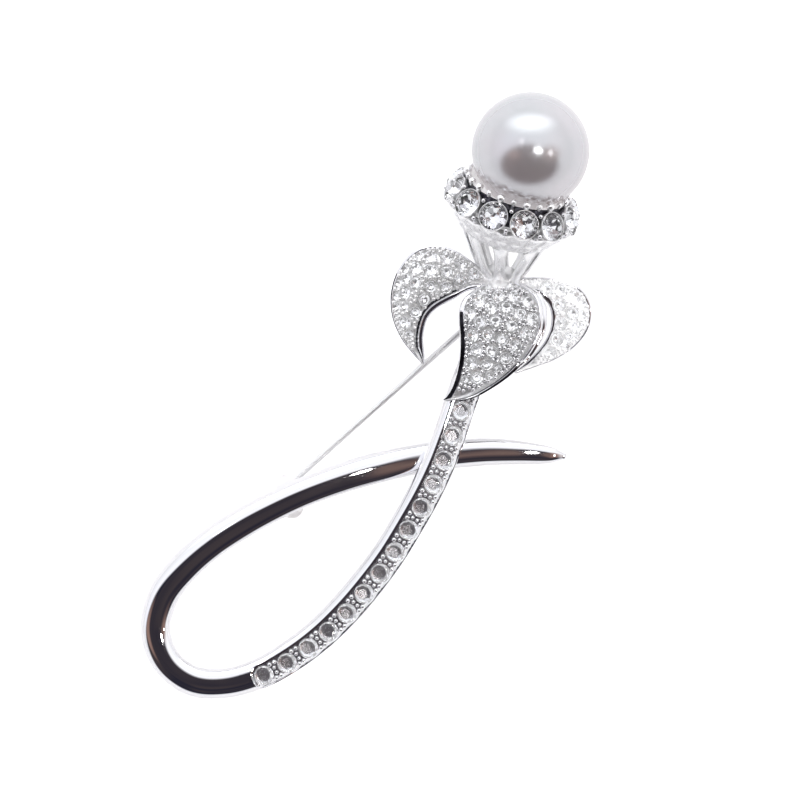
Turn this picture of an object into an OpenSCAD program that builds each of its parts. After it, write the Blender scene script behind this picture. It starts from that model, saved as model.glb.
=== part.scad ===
// Flower bud brooch: a looped stem with a row of stones, three stone-set leaves, and a
// crown of stones that carries a pearl. A hinged pin and a catch sit on the back.
// Lengths are in millimetres. The brooch lies on its back: the face looks up along +Z,
// the flower points along +Y, and Z = 0 is the surface that it lies on.

/* [Pearl] */
// Diameter of the pearl
pearl_d = 12; // [10:0.5:12.2]
// Diameter of the hole drilled into the pearl
pearl_bore_d = 1.3; // [1.2:0.1:1.6]
// Depth of the hole drilled into the pearl
pearl_bore_depth = 4; // [3.8:0.2:6]

/* [Flower] */
// Distance of the neck to the right of the brooch's middle
neck_x = 13.6; // [13:0.1:14]
// Distance of the neck above the brooch's middle
neck_y = 11.5; // [11.3:0.1:11.8]
// Height of the neck above the surface
neck_z = 3.6; // [3.5:0.05:3.7]
// Lean of the flower's axis to the right, in degrees
flower_lean = 13; // [10:1:16]
// Lift of the flower's axis toward the viewer, in degrees
flower_lift = 22; // [19:1:24]
// Distance from the neck to the pearl's middle, along the flower's axis
pearl_rise = 14.8; // [14.8:0.1:15.4]

/* [Crown] */
// Number of stones round the crown
collar_count = 12; // [10:1:12]
// Diameter of a crown stone
collar_stone_d = 2.85; // [2.4:0.05:2.85]
// Radius of the ring on which the crown stones' girdles lie
collar_r = 6.4; // [6.3:0.1:6.6]
// Distance from the neck to the middle of the crown stones, along the flower's axis
collar_rise = 9.3; // [9.2:0.1:9.6]
// Angle of the crown stones above the ring's plane
collar_tilt = 28; // [24:1:32]
// Turn of the first crown stone from the front of the flower
collar_turn = 15; // [0:1:29]
// Shift of the crown to the left of the flower's axis
crown_shift = 0.6; // [0:0.05:0.6]
// Turn of the crown about the pearl's foot, its left side up, in degrees
crown_cant = 3; // [0:1:3]
// Number of wires between the neck and the crown
strut_count = 8; // [6:1:12]
// Diameter of a strut wire
strut_d = 1; // [0.7:0.05:1]

/* [Stem] */
// Thickness of the rod as a share of its width
rod_flatness = 0.92; // [0.85:0.01:0.95]
// Diameter of a stem stone
stem_stone_d = 2; // [1.6:0.05:2]
// Number of stones along the stem
stem_stone_count = 14; // [10:1:14]
// Distance between neighbouring stem stones
stem_stone_pitch = 2.62; // [2.5:0.01:2.65]
// Shift of the stone channel from the rod's middle to the loop's outer side
channel_shift = 0.4; // [0.2:0.05:0.45]
// Depth of the stone channel
channel_depth = 1.15; // [1.05:0.05:1.3]

/* [Leaves] */
// Width of the polished rim round a leaf
rim_w = 0.55; // [0.4:0.05:0.7]
// Depth of the leaf's floor under its rim
leaf_recess = 0.8; // [0.75:0.05:0.85]
// Thickness of a leaf at its middle
leaf_thick = 1.35; // [1.3:0.05:1.6]
// Diameter of a leaf stone
pave_stone_d = 1.4; // [1.2:0.05:1.5]

/* [Pin] */
// Diameter of the pin's wire
pin_d = 0.65; // [0.55:0.05:0.8]
// Length of the pin from its hinge to its point
pin_length = 29.4; // [28.8:0.1:30]
// Length of the pin's sharpened end
pin_taper = 4; // [2:0.5:5]
// Height of the pin's axis above the surface
pin_z = 1.25; // [1.25:0.05:1.3]
// Diameter of the hinge rivet
rivet_d = 0.7; // [0.5:0.05:0.7]
// Length of the pad that carries the catch
catch_pad_length = 4.6; // [4:0.1:5]
// Length of the catch along the pin
catch_length = 2.4; // [1.8:0.1:3]

/* [Hidden] */
STONE_NAMES = ["01", "02", "03", "04", "05", "06", "07", "08", "09", "10", "11", "12", "13", "14"];

// Clear space between pieces that are seated on each other
seam = 0.1;
STEEL = "silver";
GLASS = "lightcyan";

// The stem's middle line from the flower's neck round the loop to the tail's tip:
// x and y in the brooch's plane, z of the rod's middle, and the rod's width.
STEM_ROWS = [
    // x, y, z, width
    [13.3, 10.1, 3.75, 2.8],
    [12.8, 8.3, 4.05, 3.0],
    [11.8, 5.4, 4.3, 3.2],
    [10.7, 2.4, 4.5, 3.3],
    [9.6, -0.6, 4.6, 3.3],
    [8.6, -3.6, 4.7, 3.35],
    [7.4, -6.8, 4.7, 3.4],
    [5.9, -10.0, 4.65, 3.45],
    [4.15, -13.1, 4.55, 3.4],
    [2.3, -16.1, 4.4, 3.4],
    [0.15, -19.0, 4.25, 3.45],
    [-2.15, -21.7, 4.1, 3.45],
    [-4.7, -24.2, 3.95, 3.35],
    [-7.6, -26.4, 3.8, 3.3],
    [-10.8, -28.2, 3.65, 3.15],
    [-14.2, -29.2, 3.5, 3.05],
    [-17.6, -29.0, 3.5, 3.1],
    [-20.3, -27.0, 3.5, 3.05],
    [-21.45, -23.8, 3.55, 3.05],
    [-20.6, -20.3, 3.7, 3.2],
    [-18.5, -17.4, 3.9, 3.2],
    [-15.9, -15.1, 4.1, 3.15],
    [-12.9, -13.1, 4.25, 3.15],
    [-9.8, -11.4, 4.35, 3.05],
    [-6.6, -9.9, 4.3, 3.0],
    [-3.2, -8.6, 4.05, 3.05],
    [0.3, -7.5, 3.6, 3.15],
    [4.0, -6.65, 2.95, 3.1],
    [8.0, -6.0, 2.2, 3.0],
    [11.8, -5.7, 1.6, 2.8],
    [15.4, -5.75, 1.12, 2.4],
    [18.6, -6.0, 0.92, 1.75],
    [20.1, -6.15, 0.8, 0.7]
];
// Row of the table at which the rod's two lengths meet, at the foot of the loop
STEM_SPLIT = 16;
STEM_STEPS = 3;
// Rows of the table between which the stone channel runs, and its run-out in rows
CHANNEL_FROM = 3.1;
CHANNEL_TO = 14.55;
CHANNEL_FADE = 0.2;
// Place of the first stem stone, in rows of the table
FIRST_STONE_ROW = 4.3;

// Leaf edges from the neck to the tip. The a edge lies on the left hand when
// looking from the neck to the tip from below, and the b edge across from it.
// Dome is the rise of the leaf's middle over its edges.
LEFT_LEAF = [
    // xa, ya, za, xb, yb, zb, dome
    [11.9, 12.7, 4.8, 12.2, 11.0, 5.3, 0.3],
    [10.4, 14.0, 4.7, 10.6, 10.75, 5.3, 0.9],
    [8.7, 15.0, 4.5, 9.1, 10.1, 5.2, 1.3],
    [6.8, 15.4, 4.3, 7.9, 9.5, 5.1, 1.5],
    [4.9, 14.8, 4.1, 6.95, 8.9, 5.0, 1.5],
    [3.3, 13.0, 3.9, 6.25, 8.15, 4.9, 1.4],
    [2.5, 10.6, 3.8, 5.85, 7.2, 4.8, 1.2],
    [2.6, 8.1, 3.7, 5.65, 6.0, 4.6, 0.9],
    [3.5, 5.9, 3.7, 5.7, 4.95, 4.3, 0.6],
    [4.7, 4.3, 3.7, 5.85, 4.0, 4.0, 0.25],
    [5.65, 3.25, 3.75, 5.9, 3.2, 3.8, 0.02]
];
FRONT_LEAF = [
    // xa, ya, za, xb, yb, zb, dome
    [11.6, 11.2, 5.6, 15.5, 11.5, 5.6, 0.6],
    [10.1, 10.1, 6.2, 17.2, 10.5, 6.2, 1.4],
    [9.5, 9.0, 6.6, 17.9, 9.2, 6.5, 1.7],
    [9.4, 7.6, 6.8, 18.0, 7.8, 6.7, 1.8],
    [9.5, 6.1, 6.9, 17.8, 6.4, 6.8, 1.7],
    [9.5, 4.6, 7.0, 17.1, 4.9, 6.9, 1.5],
    [9.35, 3.2, 7.0, 16.1, 3.5, 6.9, 1.2],
    [9.05, 1.9, 7.1, 14.7, 2.1, 6.95, 0.9],
    [8.65, 0.8, 7.2, 12.8, 0.75, 7.05, 0.5],
    [8.2, 0.05, 7.25, 10.7, -0.3, 7.15, 0.2],
    [7.8, -0.4, 7.3, 8.1, -0.55, 7.3, 0.02]
];
RIGHT_LEAF = [
    // xa, ya, za, xb, yb, zb, dome
    [14.4, 10.9, 4.6, 14.8, 12.0, 4.6, 0.2],
    [16.0, 10.8, 4.5, 16.8, 12.1, 4.5, 0.5],
    [17.4, 10.3, 4.4, 18.9, 12.0, 4.3, 0.8],
    [18.4, 9.4, 4.3, 20.8, 11.6, 4.1, 1.0],
    [18.8, 8.2, 4.2, 22.2, 10.6, 3.9, 1.2],
    [18.7, 6.9, 4.1, 22.95, 8.9, 3.7, 1.3],
    [18.2, 5.7, 4.0, 22.7, 6.9, 3.6, 1.2],
    [17.4, 4.6, 3.9, 21.4, 5.1, 3.5, 1.0],
    [16.5, 3.7, 3.8, 19.5, 3.8, 3.4, 0.7],
    [15.8, 3.0, 3.7, 17.5, 3.0, 3.4, 0.3],
    [15.0, 2.4, 3.5, 15.25, 2.25, 3.5, 0.02]
];
LEAF_STATIONS = 18;

function unit(v) = v / norm(v);
function row_at(rows, i) = rows[max(0, min(len(rows) - 1, i))];
function ramp(x, from, over) = max(0, min(1, (x - from) / over));

// Smooth curve through every row of a table, s in rows
function spline(rows, s) =
    let (
        i = max(0, min(floor(s), len(rows) - 2)),
        t = s - i,
        a = row_at(rows, i - 1),
        b = row_at(rows, i),
        c = row_at(rows, i + 1),
        d = row_at(rows, i + 2)
    )
    (2 * b + (c - a) * t + (2 * a - 5 * b + 4 * c - d) * t * t + (3 * b - a - 3 * c + d) * t * t * t) / 2;

// Place whose x, y and z directions are the vectors u, t and v, at the point p
function placed(u, t, v, p) = [
    [u.x, t.x, v.x, p.x],
    [u.y, t.y, v.y, p.y],
    [u.z, t.z, v.z, p.z],
    [0, 0, 0, 1]
];
function carried(m, p) = [for (r = [0:2]) m[r] * [p.x, p.y, p.z, 1]];

// Closed skin over a list of rings that have the same number of points
module skin(rings) {
    n = len(rings[0]);
    m = len(rings);
    sides = [
        for (j = [0:m - 2], i = [0:n - 1])
            each [
                [j * n + i, j * n + (i + 1) % n, (j + 1) * n + (i + 1) % n],
                [j * n + i, (j + 1) * n + (i + 1) % n, (j + 1) * n + i]
            ]
    ];
    start = [for (i = [n - 1:-1:0]) i];
    end = [for (i = [0:n - 1]) (m - 1) * n + i];
    polyhedron(points = [for (r = rings) each r], faces = concat([start], sides, [end]), convexity = 6);
}

// Cut stones: an eight-sided table over a girdle, on a pointed pavilion.
// The girdle lies at z = 0, and the stone is one unit of radius wide.
TABLE_R = 0.56;
CROWN_H = 0.32;
PAVILION_H = 0.84;
GIRDLE_H = 0.06;
FINE_SIDES = 16;

function circle_points(r, z, sides) = [
    for (k = [0:sides - 1])
        let (q = 360 * k / sides)
        [r * cos(q), r * sin(q), z]
];

// A main stone has sixteen girdle facets and a girdle band
module cut_stone(d) {
    n = FINE_SIDES;
    points = concat(
        circle_points(TABLE_R, CROWN_H, 8),
        circle_points(1, 0, n),
        circle_points(1, -GIRDLE_H, n),
        [[0, 0, -PAVILION_H]]
    );
    table = [for (k = [7:-1:0]) k];
    crown_facets = [
        for (k = [0:7])
            each [
                [k, (k + 1) % 8, 8 + 2 * k + 1],
                [k, 8 + 2 * k + 1, 8 + 2 * k],
                [k, 8 + 2 * k, 8 + (2 * k + n - 1) % n]
            ]
    ];
    band = [for (k = [0:n - 1]) [8 + k, 8 + (k + 1) % n, 8 + n + (k + 1) % n, 8 + n + k]];
    pavilion = [for (k = [0:n - 1]) [8 + n + k, 8 + n + (k + 1) % n, 8 + 2 * n]];
    polyhedron(
        points = points * d / 2,
        faces = concat([table], crown_facets, band, pavilion),
        convexity = 2
    );
}

// Many small stones, one at each place: eight crown facets and eight pavilion facets
module stone_field(places, d) {
    shape = concat(
        circle_points(TABLE_R, CROWN_H, 8),
        circle_points(1, 0, 8),
        [[0, 0, -PAVILION_H]]
    ) * d / 2;
    facets = [
        [for (k = [7:-1:0]) k],
        for (k = [0:7]) [k, (k + 1) % 8, 8 + (k + 1) % 8, 8 + k],
        for (k = [0:7]) [8 + k, 8 + (k + 1) % 8, 16]
    ];
    polyhedron(
        points = [for (m = places, p = shape) carried(m, p)],
        faces = [
            for (k = [0:len(places) - 1], f = facets)
                [for (i = f) i + k * len(shape)]
        ],
        convexity = 10
    );
}

// Stem: the rod's middle line, its directions, and its section
function stem_at(s) = let (r = spline(STEM_ROWS, s)) [r[0], r[1], r[2]];
function stem_width(s) = spline(STEM_ROWS, s)[3];
function stem_along(s) = unit(stem_at(min(s + 0.02, len(STEM_ROWS) - 1)) - stem_at(max(s - 0.02, 0)));
function stem_across(s) = unit(cross(stem_along(s), [0, 0, 1]));
function stem_place(s) =
    let (
        t = stem_along(s),
        u = stem_across(s)
    )
    placed(u, t, cross(u, t), stem_at(s));
function channel_at(s) = ramp(s, CHANNEL_FROM, CHANNEL_FADE) * ramp(CHANNEL_TO - s, 0, CHANNEL_FADE);

// Half the channel's width
CHANNEL_HALF = stem_stone_d / 2 + 0.06;
CHANNEL_SHARE = 0.66;
// Directions of the section's points under the rod, in degrees
BOTTOM_ANGLES = [202, 225, 247, 270, 293, 315, 338];

function rod_top(a, b, x) = b * sqrt(max(0, 1 - (x / a) * (x / a)));
function rod_section(w, g) =
    let (
        a = w / 2,
        b = w * rod_flatness / 2,
        shift = -channel_shift * min(1, a / 1.5),
        half = min(CHANNEL_HALF, a * CHANNEL_SHARE),
        inner = shift + half,
        outer = shift - half,
        drawn = 0.04 + 0.3 * half * (1 - g),
        sunk = channel_depth * g
    )
    [
        [a, 0],
        [a * cos(24), b * sin(24)],
        [a * cos(45), b * sin(45)],
        [inner, rod_top(a, b, inner)],
        [inner - drawn * 0.5, rod_top(a, b, inner - drawn * 0.5) - sunk],
        [shift + half * 0.33, rod_top(a, b, shift + half * 0.33) * (1 - g) + g * (b - sunk)],
        [shift - half * 0.33, rod_top(a, b, shift - half * 0.33) * (1 - g) + g * (b - sunk)],
        [outer + drawn * 0.5, rod_top(a, b, outer + drawn * 0.5) - sunk],
        [outer, rod_top(a, b, outer)],
        [-a * cos(14), b * sin(14)],
        for (q = BOTTOM_ANGLES) [a * cos(q), b * sin(q)]
    ];

function stem_ring(s) =
    let (m = stem_place(s))
    [for (p = rod_section(stem_width(s), channel_at(s))) carried(m, [p.x, 0, p.y])];

// Stations along the rod, with the same number of steps from each row to the next
function stations(from, to) = [
    for (k = [0:(to - from) * STEM_STEPS])
        let (s = from + k / STEM_STEPS)
        if (s <= to) s
];

// Distance along the rod, so that stones stand at even steps
ARC_STEP = 0.1;
ARC = [
    for (
        i = 0, run = 0, last = stem_at(FIRST_STONE_ROW);
        FIRST_STONE_ROW + i * ARC_STEP < CHANNEL_TO + 1;
        i = i + 1,
        here = stem_at(FIRST_STONE_ROW + i * ARC_STEP),
        run = run + norm(here - last),
        last = here
    )
        [run, FIRST_STONE_ROW + i * ARC_STEP]
];
function stem_stone_row(i) = lookup(i * stem_stone_pitch, ARC);
GIRDLE_DROP = 0.12;

module at_stem_seat(s) {
    b = stem_width(s) * rod_flatness / 2;
    multmatrix(stem_place(s)) translate([-channel_shift, 0, b - GIRDLE_DROP]) children();
}

// Grains that hold the stem stones, two in each space between neighbours: six-sided
// beads that narrow to a flat head
GRAIN_R = 0.24;
GRAIN_HEAD_R = 0.18;
GRAIN_RISE = 0.12;
GRAIN_PLATE = 0.04;
module stem_grain() {
    hull() {
        cylinder(r = GRAIN_R, h = GRAIN_PLATE, $fn = 6);
        translate([0, 0, channel_depth + GRAIN_RISE])
            cylinder(r = GRAIN_HEAD_R, h = GRAIN_PLATE, $fn = 6);
    }
}
module stem_grains() {
    for (i = [0:stem_stone_count - 2]) {
        s = (stem_stone_row(i) + stem_stone_row(i + 1)) / 2;
        for (side = [-1, 1])
            at_stem_seat(s) translate([side * (CHANNEL_HALF - GRAIN_R), 0, -channel_depth]) stem_grain();
    }
}

NECK_PEG_D = 1.3;
NECK_PEG_LENGTH = 0.45;
NECK_PEG_ROOT = 0.5;
module neck_peg(grow) {
    multmatrix(stem_place(0))
        rotate([-90, 0, 0])
            translate([0, 0, -NECK_PEG_LENGTH - grow])
                cylinder(d = NECK_PEG_D + 2 * grow, h = NECK_PEG_LENGTH + NECK_PEG_ROOT + grow, $fn = 20);
}

// The rod's upper end, grown on all sides: what is cut by it fits round the rod
STEM_END_ROWS = 2;
function grown_ring(s, grow, back) =
    let (m = stem_place(s))
    [for (p = rod_section(stem_width(s) + 2 * grow, 0)) carried(m, [p.x, -back, p.y])];
module stem_end(grow) {
    skin([
        grown_ring(0, grow, grow),
        for (s = stations(0, STEM_END_ROWS)) grown_ring(s, grow, 0)
    ]);
}

module stem() color(STEEL) {
    union() {
        skin([for (s = stations(0, STEM_SPLIT)) stem_ring(s)]);
        skin([for (s = stations(STEM_SPLIT, len(STEM_ROWS) - 1)) stem_ring(s)]);
        stem_grains();
        neck_peg(0);
    }
}

module stem_stone(i) color(GLASS) at_stem_seat(stem_stone_row(i)) cut_stone(stem_stone_d);

// Leaves: a domed plate between two edges, with a raised rim round a sunk floor
function leaf_row(rows, along) = spline(rows, along * (len(rows) - 1));
function leaf_point(rows, along, across, drop) =
    let (
        r = leaf_row(rows, along),
        a = [r[0], r[1], r[2]],
        b = [r[3], r[4], r[5]]
    )
    a + (b - a) * across + [0, 0, r[6] * 4 * across * (1 - across) - drop];
function leaf_width(rows, along) =
    let (r = leaf_row(rows, along))
    norm([r[3] - r[0], r[4] - r[1], r[5] - r[2]]);

// Thickness of a leaf at its edges, and the narrow width under which it thins out
EDGE_THICK = 0.95;
NARROW_W = 1.6;
TIP_THICK_SHARE = 0.5;
function leaf_section(w) =
    let (
        narrow = min(1, w / NARROW_W),
        slim = TIP_THICK_SHARE + (1 - TIP_THICK_SHARE) * narrow,
        rim = min(0.34, rim_w / w),
        sunk = leaf_recess * narrow * slim
    )
    [
        // across, drop
        [0, EDGE_THICK * slim],
        [0, 0.16],
        [rim * 0.3, 0],
        [rim * 0.8, 0],
        [rim, sunk],
        [0.36, sunk],
        [0.5, sunk],
        [0.64, sunk],
        [1 - rim, sunk],
        [1 - rim * 0.8, 0],
        [1 - rim * 0.3, 0],
        [1, 0.16],
        [1, EDGE_THICK * slim],
        [0.72, leaf_thick * slim * 0.97],
        [0.5, leaf_thick * slim],
        [0.28, leaf_thick * slim * 0.97]
    ];

function leaf_ring(rows, along) =
    [for (q = leaf_section(leaf_width(rows, along))) leaf_point(rows, along, q.x, q.y)];

module leaf(rows) {
    skin([for (k = [0:LEAF_STATIONS]) leaf_ring(rows, k / LEAF_STATIONS)]);
}

// Place of a leaf stone, square to the leaf's surface
PAVE_DROP = 0.05;
function pave_place(rows, along, across) =
    let (
        step = 0.01,
        p = leaf_point(rows, along, across, PAVE_DROP),
        u = unit(leaf_point(rows, along, across + step, PAVE_DROP) - p),
        t = leaf_point(rows, along + step, across, PAVE_DROP) - p,
        v = unit(cross(t, u))
    )
    placed(u, cross(v, u), v, p);

// Leaf stones are laid row by row from the neck to the tip, each where the leaf isn't
// steep and where it clears the rim and every stone already laid.
PAVE_GAP = 0.12;
PAVE_RIM_GAP = 0.05;
PAVE_LEVEL = 0.8;
PAVE_ALONG_STEPS = 80;
PAVE_ACROSS_STEPS = 32;
PAVE_REACH = rim_w + pave_stone_d / 2 + PAVE_RIM_GAP;
function leaf_edges(rows) = [
    for (i = [0:PAVE_ALONG_STEPS], side = [0, 1])
        leaf_point(rows, i / PAVE_ALONG_STEPS, side, PAVE_DROP)
];
function middle(place) = [place[0][3], place[1][3], place[2][3]];
function fits(place, edges) =
    place[2][2] > PAVE_LEVEL && min([for (e = edges) norm(e - middle(place))]) > PAVE_REACH;
function pave_seats(rows) =
    let (edges = leaf_edges(rows))
    [
        for (i = [1:PAVE_ALONG_STEPS - 1], j = [1:PAVE_ACROSS_STEPS - 1])
            let (place = pave_place(rows, i / PAVE_ALONG_STEPS, j / PAVE_ACROSS_STEPS))
            if (fits(place, edges)) place
    ];
function is_clear(place, laid) =
    let (near = [for (m = laid) if (norm(middle(m) - middle(place)) < pave_stone_d + PAVE_GAP) m])
    len(near) == 0;
function lay(places, i = 0, laid = []) =
    i == len(places)
        ? laid
        : lay(places, i + 1, is_clear(places[i], laid) ? concat(laid, [places[i]]) : laid);
function pave_places(rows) = lay(pave_seats(rows));

// Flower frame: the origin is the neck, +Z runs up the flower, and -Y looks to the viewer
module in_flower() {
    translate([neck_x, neck_y, neck_z])
        rotate([0, 0, -flower_lean])
            rotate([flower_lift - 90, 0, 0])
                children();
}

// Hub: the crown's foot, which stands in the neck on a peg
HUB_R = 2.3;
HUB_BASE = 0.35;
HUB_TOP = 1.1;
HUB_ROUND = 0.3;
HUB_PEG_R = 0.9;
HUB_PEG_LENGTH = 0.5;

// Outline of the neck's turned foot, along the flower's axis
NECK_PROFILE = [
    // radius, rise
    [0, -1.6],
    [1.5, -1.6],
    [2.0, -0.6],
    [2.15, 0.1],
    [0, 0.1]
];

// Roots of the leaves: balls along each one, from the neck out to the leaf
LEFT_ROOT = [
    // x, y, z, radius
    [13.5, 11.5, 4.7, 1.1],
    [12.7, 11.7, 4.8, 0.9],
    [12.0, 11.9, 4.7, 0.7],
    [11.2, 12.1, 4.6, 0.45]
];
FRONT_ROOT = [
    // x, y, z, radius
    [13.6, 11.1, 4.6, 1.4],
    [13.5, 11.0, 5.6, 1.1],
    [13.4, 10.9, 6.1, 0.8],
    [13.4, 10.2, 6.2, 0.6]
];
RIGHT_ROOT = [
    // x, y, z, radius
    [13.7, 11.5, 4.6, 1.1],
    [14.4, 11.5, 4.4, 0.8],
    [15.1, 11.5, 4.2, 0.6],
    [15.8, 11.5, 4.1, 0.45]
];
module ball(b) {
    translate([b[0], b[1], b[2]]) sphere(r = b[3], $fn = 8);
}
module root(balls) {
    for (k = [0:len(balls) - 2])
        hull() {
            ball(balls[k]);
            ball(balls[k + 1]);
        }
}

// Clear cone round the struts, and the socket for the hub's peg
FLARE_CUT = 3.5;
FLARE_SLOPE = 0.6;
module strut_clearance() {
    translate([0, 0, HUB_BASE - seam])
        cylinder(r1 = HUB_R + seam, r2 = HUB_R + FLARE_SLOPE * FLARE_CUT + seam, h = FLARE_CUT, $fn = 32);
    translate([0, 0, -HUB_PEG_LENGTH - seam])
        cylinder(r = HUB_PEG_R + seam, h = HUB_PEG_LENGTH + FLARE_CUT, $fn = 20);
}

module calyx() color(STEEL) {
    difference() {
        union() {
            leaf(LEFT_LEAF);
            leaf(FRONT_LEAF);
            leaf(RIGHT_LEAF);
            root(LEFT_ROOT);
            root(FRONT_ROOT);
            root(RIGHT_ROOT);
            in_flower() rotate_extrude($fn = 24) polygon(NECK_PROFILE);
        }
        in_flower() strut_clearance();
        stem_end(seam);
        neck_peg(seam);
    }
}

module left_leaf_stones() color(GLASS) stone_field(pave_places(LEFT_LEAF), pave_stone_d);
module front_leaf_stones() color(GLASS) stone_field(pave_places(FRONT_LEAF), pave_stone_d);
module right_leaf_stones() color(GLASS) stone_field(pave_places(RIGHT_LEAF), pave_stone_d);

// Crown: cups for the stones, a ribbed basket under them, and wires down to the hub
CUP_R = collar_stone_d / 2 + 0.2;
CUP_DEPTH = 1.5;
CUP_FOOT_R = 1;
CUP_FLOOR_R = 0.3;
CUP_FLOOR = 0.15;
CUP_LIP = 0.06;
CUP_LIP_DROP = 0.05;
CLAW_R = 0.26;
CLAW_REACH = 1.02;
CLAW_FOOT = -1.1;
CLAW_LENGTH = 1.45;
BASKET_FOOT_R = 4.4;
BASKET_FOOT_RISE = 5.3;
BASKET_TOP_R = collar_r + 0.35;
BASKET_TOP_RISE = collar_rise - 1.35;
BASKET_WALL = 0.9;
BASKET_TOP_WALL = 1.4;
RIB_DEPTH = 0.28;
RIB_COUNT = 2 * collar_count;
RIB_POINTS = 4;
SEAT_RISE = pearl_rise - pearl_d / 2 - seam;
SEAT_THICK = 0.6;
SEAT_R = collar_r - 1.4;
GALLERY_LAP = 0.5;
GALLERY_W = 0.8;
GALLERY_H = 1.9;
PEARL_PEG_LENGTH = 4;
STRUT_FOOT_R = 1.7;
STRUT_FOOT_RISE = 0.9;
STRUT_SINK = 0.2;

function collar_angle(i) = collar_turn + 360 / collar_count * i;
module at_collar_seat(i) {
    rotate([0, 0, collar_angle(i)])
        translate([0, -collar_r, collar_rise])
            rotate([90 - collar_tilt, 0, 0])
                children();
}

// Crown frame: the flower frame, shifted to the left and turned about the pearl's foot
module in_crown() {
    translate([-crown_shift, 0, SEAT_RISE])
        rotate([0, crown_cant, 0])
            translate([0, 0, -SEAT_RISE])
                children();
}

function in_crown_point(p) =
    let (rise = p.z - SEAT_RISE)
    [
        p.x * cos(crown_cant) + rise * sin(crown_cant) - crown_shift,
        p.y,
        SEAT_RISE - p.x * sin(crown_cant) + rise * cos(crown_cant)
    ];

module collar_cup() {
    difference() {
        translate([0, 0, -CUP_DEPTH])
            cylinder(r1 = CUP_FOOT_R, r2 = CUP_R, h = CUP_DEPTH - CUP_LIP_DROP, $fn = 14);
        translate([0, 0, -CUP_DEPTH + CUP_FLOOR])
            cylinder(r1 = CUP_FLOOR_R, r2 = CUP_R - CUP_LIP, h = CUP_DEPTH - CUP_FLOOR, $fn = 14);
    }
}

// Claws between neighbouring stones, one above and one below the girdle's middle
module collar_claws(i) {
    for (side = [-1, 1])
        at_collar_seat(i + 0.5)
            translate([0, side * CLAW_REACH, CLAW_FOOT])
                cylinder(r1 = CLAW_R * 1.3, r2 = CLAW_R * 0.8, h = CLAW_LENGTH, $fn = 6);
}

// One ring of the basket's wall, with ribs of the given depth
function basket_ring(r, z, rib) = [
    for (k = [0:RIB_COUNT * RIB_POINTS - 1])
        let (
            q = 360 * k / (RIB_COUNT * RIB_POINTS),
            out = r + rib * (1 + cos(RIB_COUNT * q)) / 2
        )
        [out * cos(q), out * sin(q), z]
];

module basket() {
    rings = [
        basket_ring(BASKET_FOOT_R - BASKET_WALL, BASKET_FOOT_RISE, 0),
        basket_ring(BASKET_FOOT_R, BASKET_FOOT_RISE, RIB_DEPTH),
        basket_ring(BASKET_TOP_R, BASKET_TOP_RISE, RIB_DEPTH),
        basket_ring(BASKET_TOP_R - BASKET_TOP_WALL, BASKET_TOP_RISE, 0)
    ];
    n = len(rings[0]);
    polyhedron(
        points = [for (r = rings) each r],
        faces = [
            for (j = [0:3], i = [0:n - 1])
                let (
                    a = j * n,
                    b = (j + 1) % 4 * n
                )
                each [
                    [a + i, b + (i + 1) % n, a + (i + 1) % n],
                    [a + i, b + i, b + (i + 1) % n]
                ]
        ],
        convexity = 8
    );
}

module round_bar(p, q, r) {
    hull() {
        translate(p) sphere(r = r, $fn = 6);
        translate(q) sphere(r = r, $fn = 6);
    }
}

// Plate under the pearl, and the gallery ring that ties the cups together
module pearl_seat() {
    translate([0, 0, SEAT_RISE - SEAT_THICK]) {
        cylinder(r = SEAT_R, h = SEAT_THICK, $fn = 36);
        rotate_extrude($fn = 36) translate([SEAT_R - GALLERY_LAP, 0]) square([GALLERY_W, GALLERY_H]);
    }
}

// Wires from the hub up to the basket's foot
module struts() {
    top_r = BASKET_FOOT_R - STRUT_SINK;
    top_rise = BASKET_FOOT_RISE + STRUT_SINK;
    for (k = [0:strut_count - 1]) {
        out = [sin(360 / strut_count * k), -cos(360 / strut_count * k)];
        foot = [STRUT_FOOT_R * out.x, STRUT_FOOT_R * out.y, STRUT_FOOT_RISE];
        top = in_crown_point([top_r * out.x, top_r * out.y, top_rise]);
        round_bar(foot, top, strut_d / 2);
    }
}

module hub() {
    rotate_extrude($fn = 24)
        polygon([
            [0, -HUB_PEG_LENGTH],
            [HUB_PEG_R, -HUB_PEG_LENGTH],
            [HUB_PEG_R, HUB_BASE],
            [HUB_R - HUB_ROUND, HUB_BASE],
            [HUB_R, HUB_BASE + HUB_ROUND],
            [HUB_R - HUB_ROUND, HUB_TOP],
            [HUB_R / 2, HUB_TOP + HUB_ROUND],
            [0, HUB_TOP + HUB_ROUND]
        ]);
}

module pearl_peg() {
    translate([0, 0, SEAT_RISE - SEAT_THICK])
        cylinder(d = pearl_bore_d - 2 * seam, h = PEARL_PEG_LENGTH, $fn = 16);
}

module crown() color(STEEL) {
    in_flower() {
        in_crown() {
            basket();
            for (i = [0:collar_count - 1]) {
                at_collar_seat(i) collar_cup();
                collar_claws(i);
            }
            pearl_seat();
        }
        struts();
        pearl_peg();
        hub();
    }
}

module collar_stone(i) color(GLASS) in_flower() in_crown() at_collar_seat(i) cut_stone(collar_stone_d);

module pearl() color("whitesmoke") {
    in_flower()
        translate([0, 0, pearl_rise])
            difference() {
                sphere(d = pearl_d, $fn = 64);
                translate([0, 0, -pearl_d])
                    cylinder(d = pearl_bore_d, h = pearl_d / 2 + pearl_bore_depth, $fn = 32);
            }
}

// Pin frame: the origin is the hinge on the back, +X runs along the pin to its point
HINGE_X = 11.9;
HINGE_Y = 8.53;
PIN_TURN = 221.7;
module on_pin() {
    translate([HINGE_X, HINGE_Y, pin_z]) rotate([0, 0, PIN_TURN]) children();
}

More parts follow.
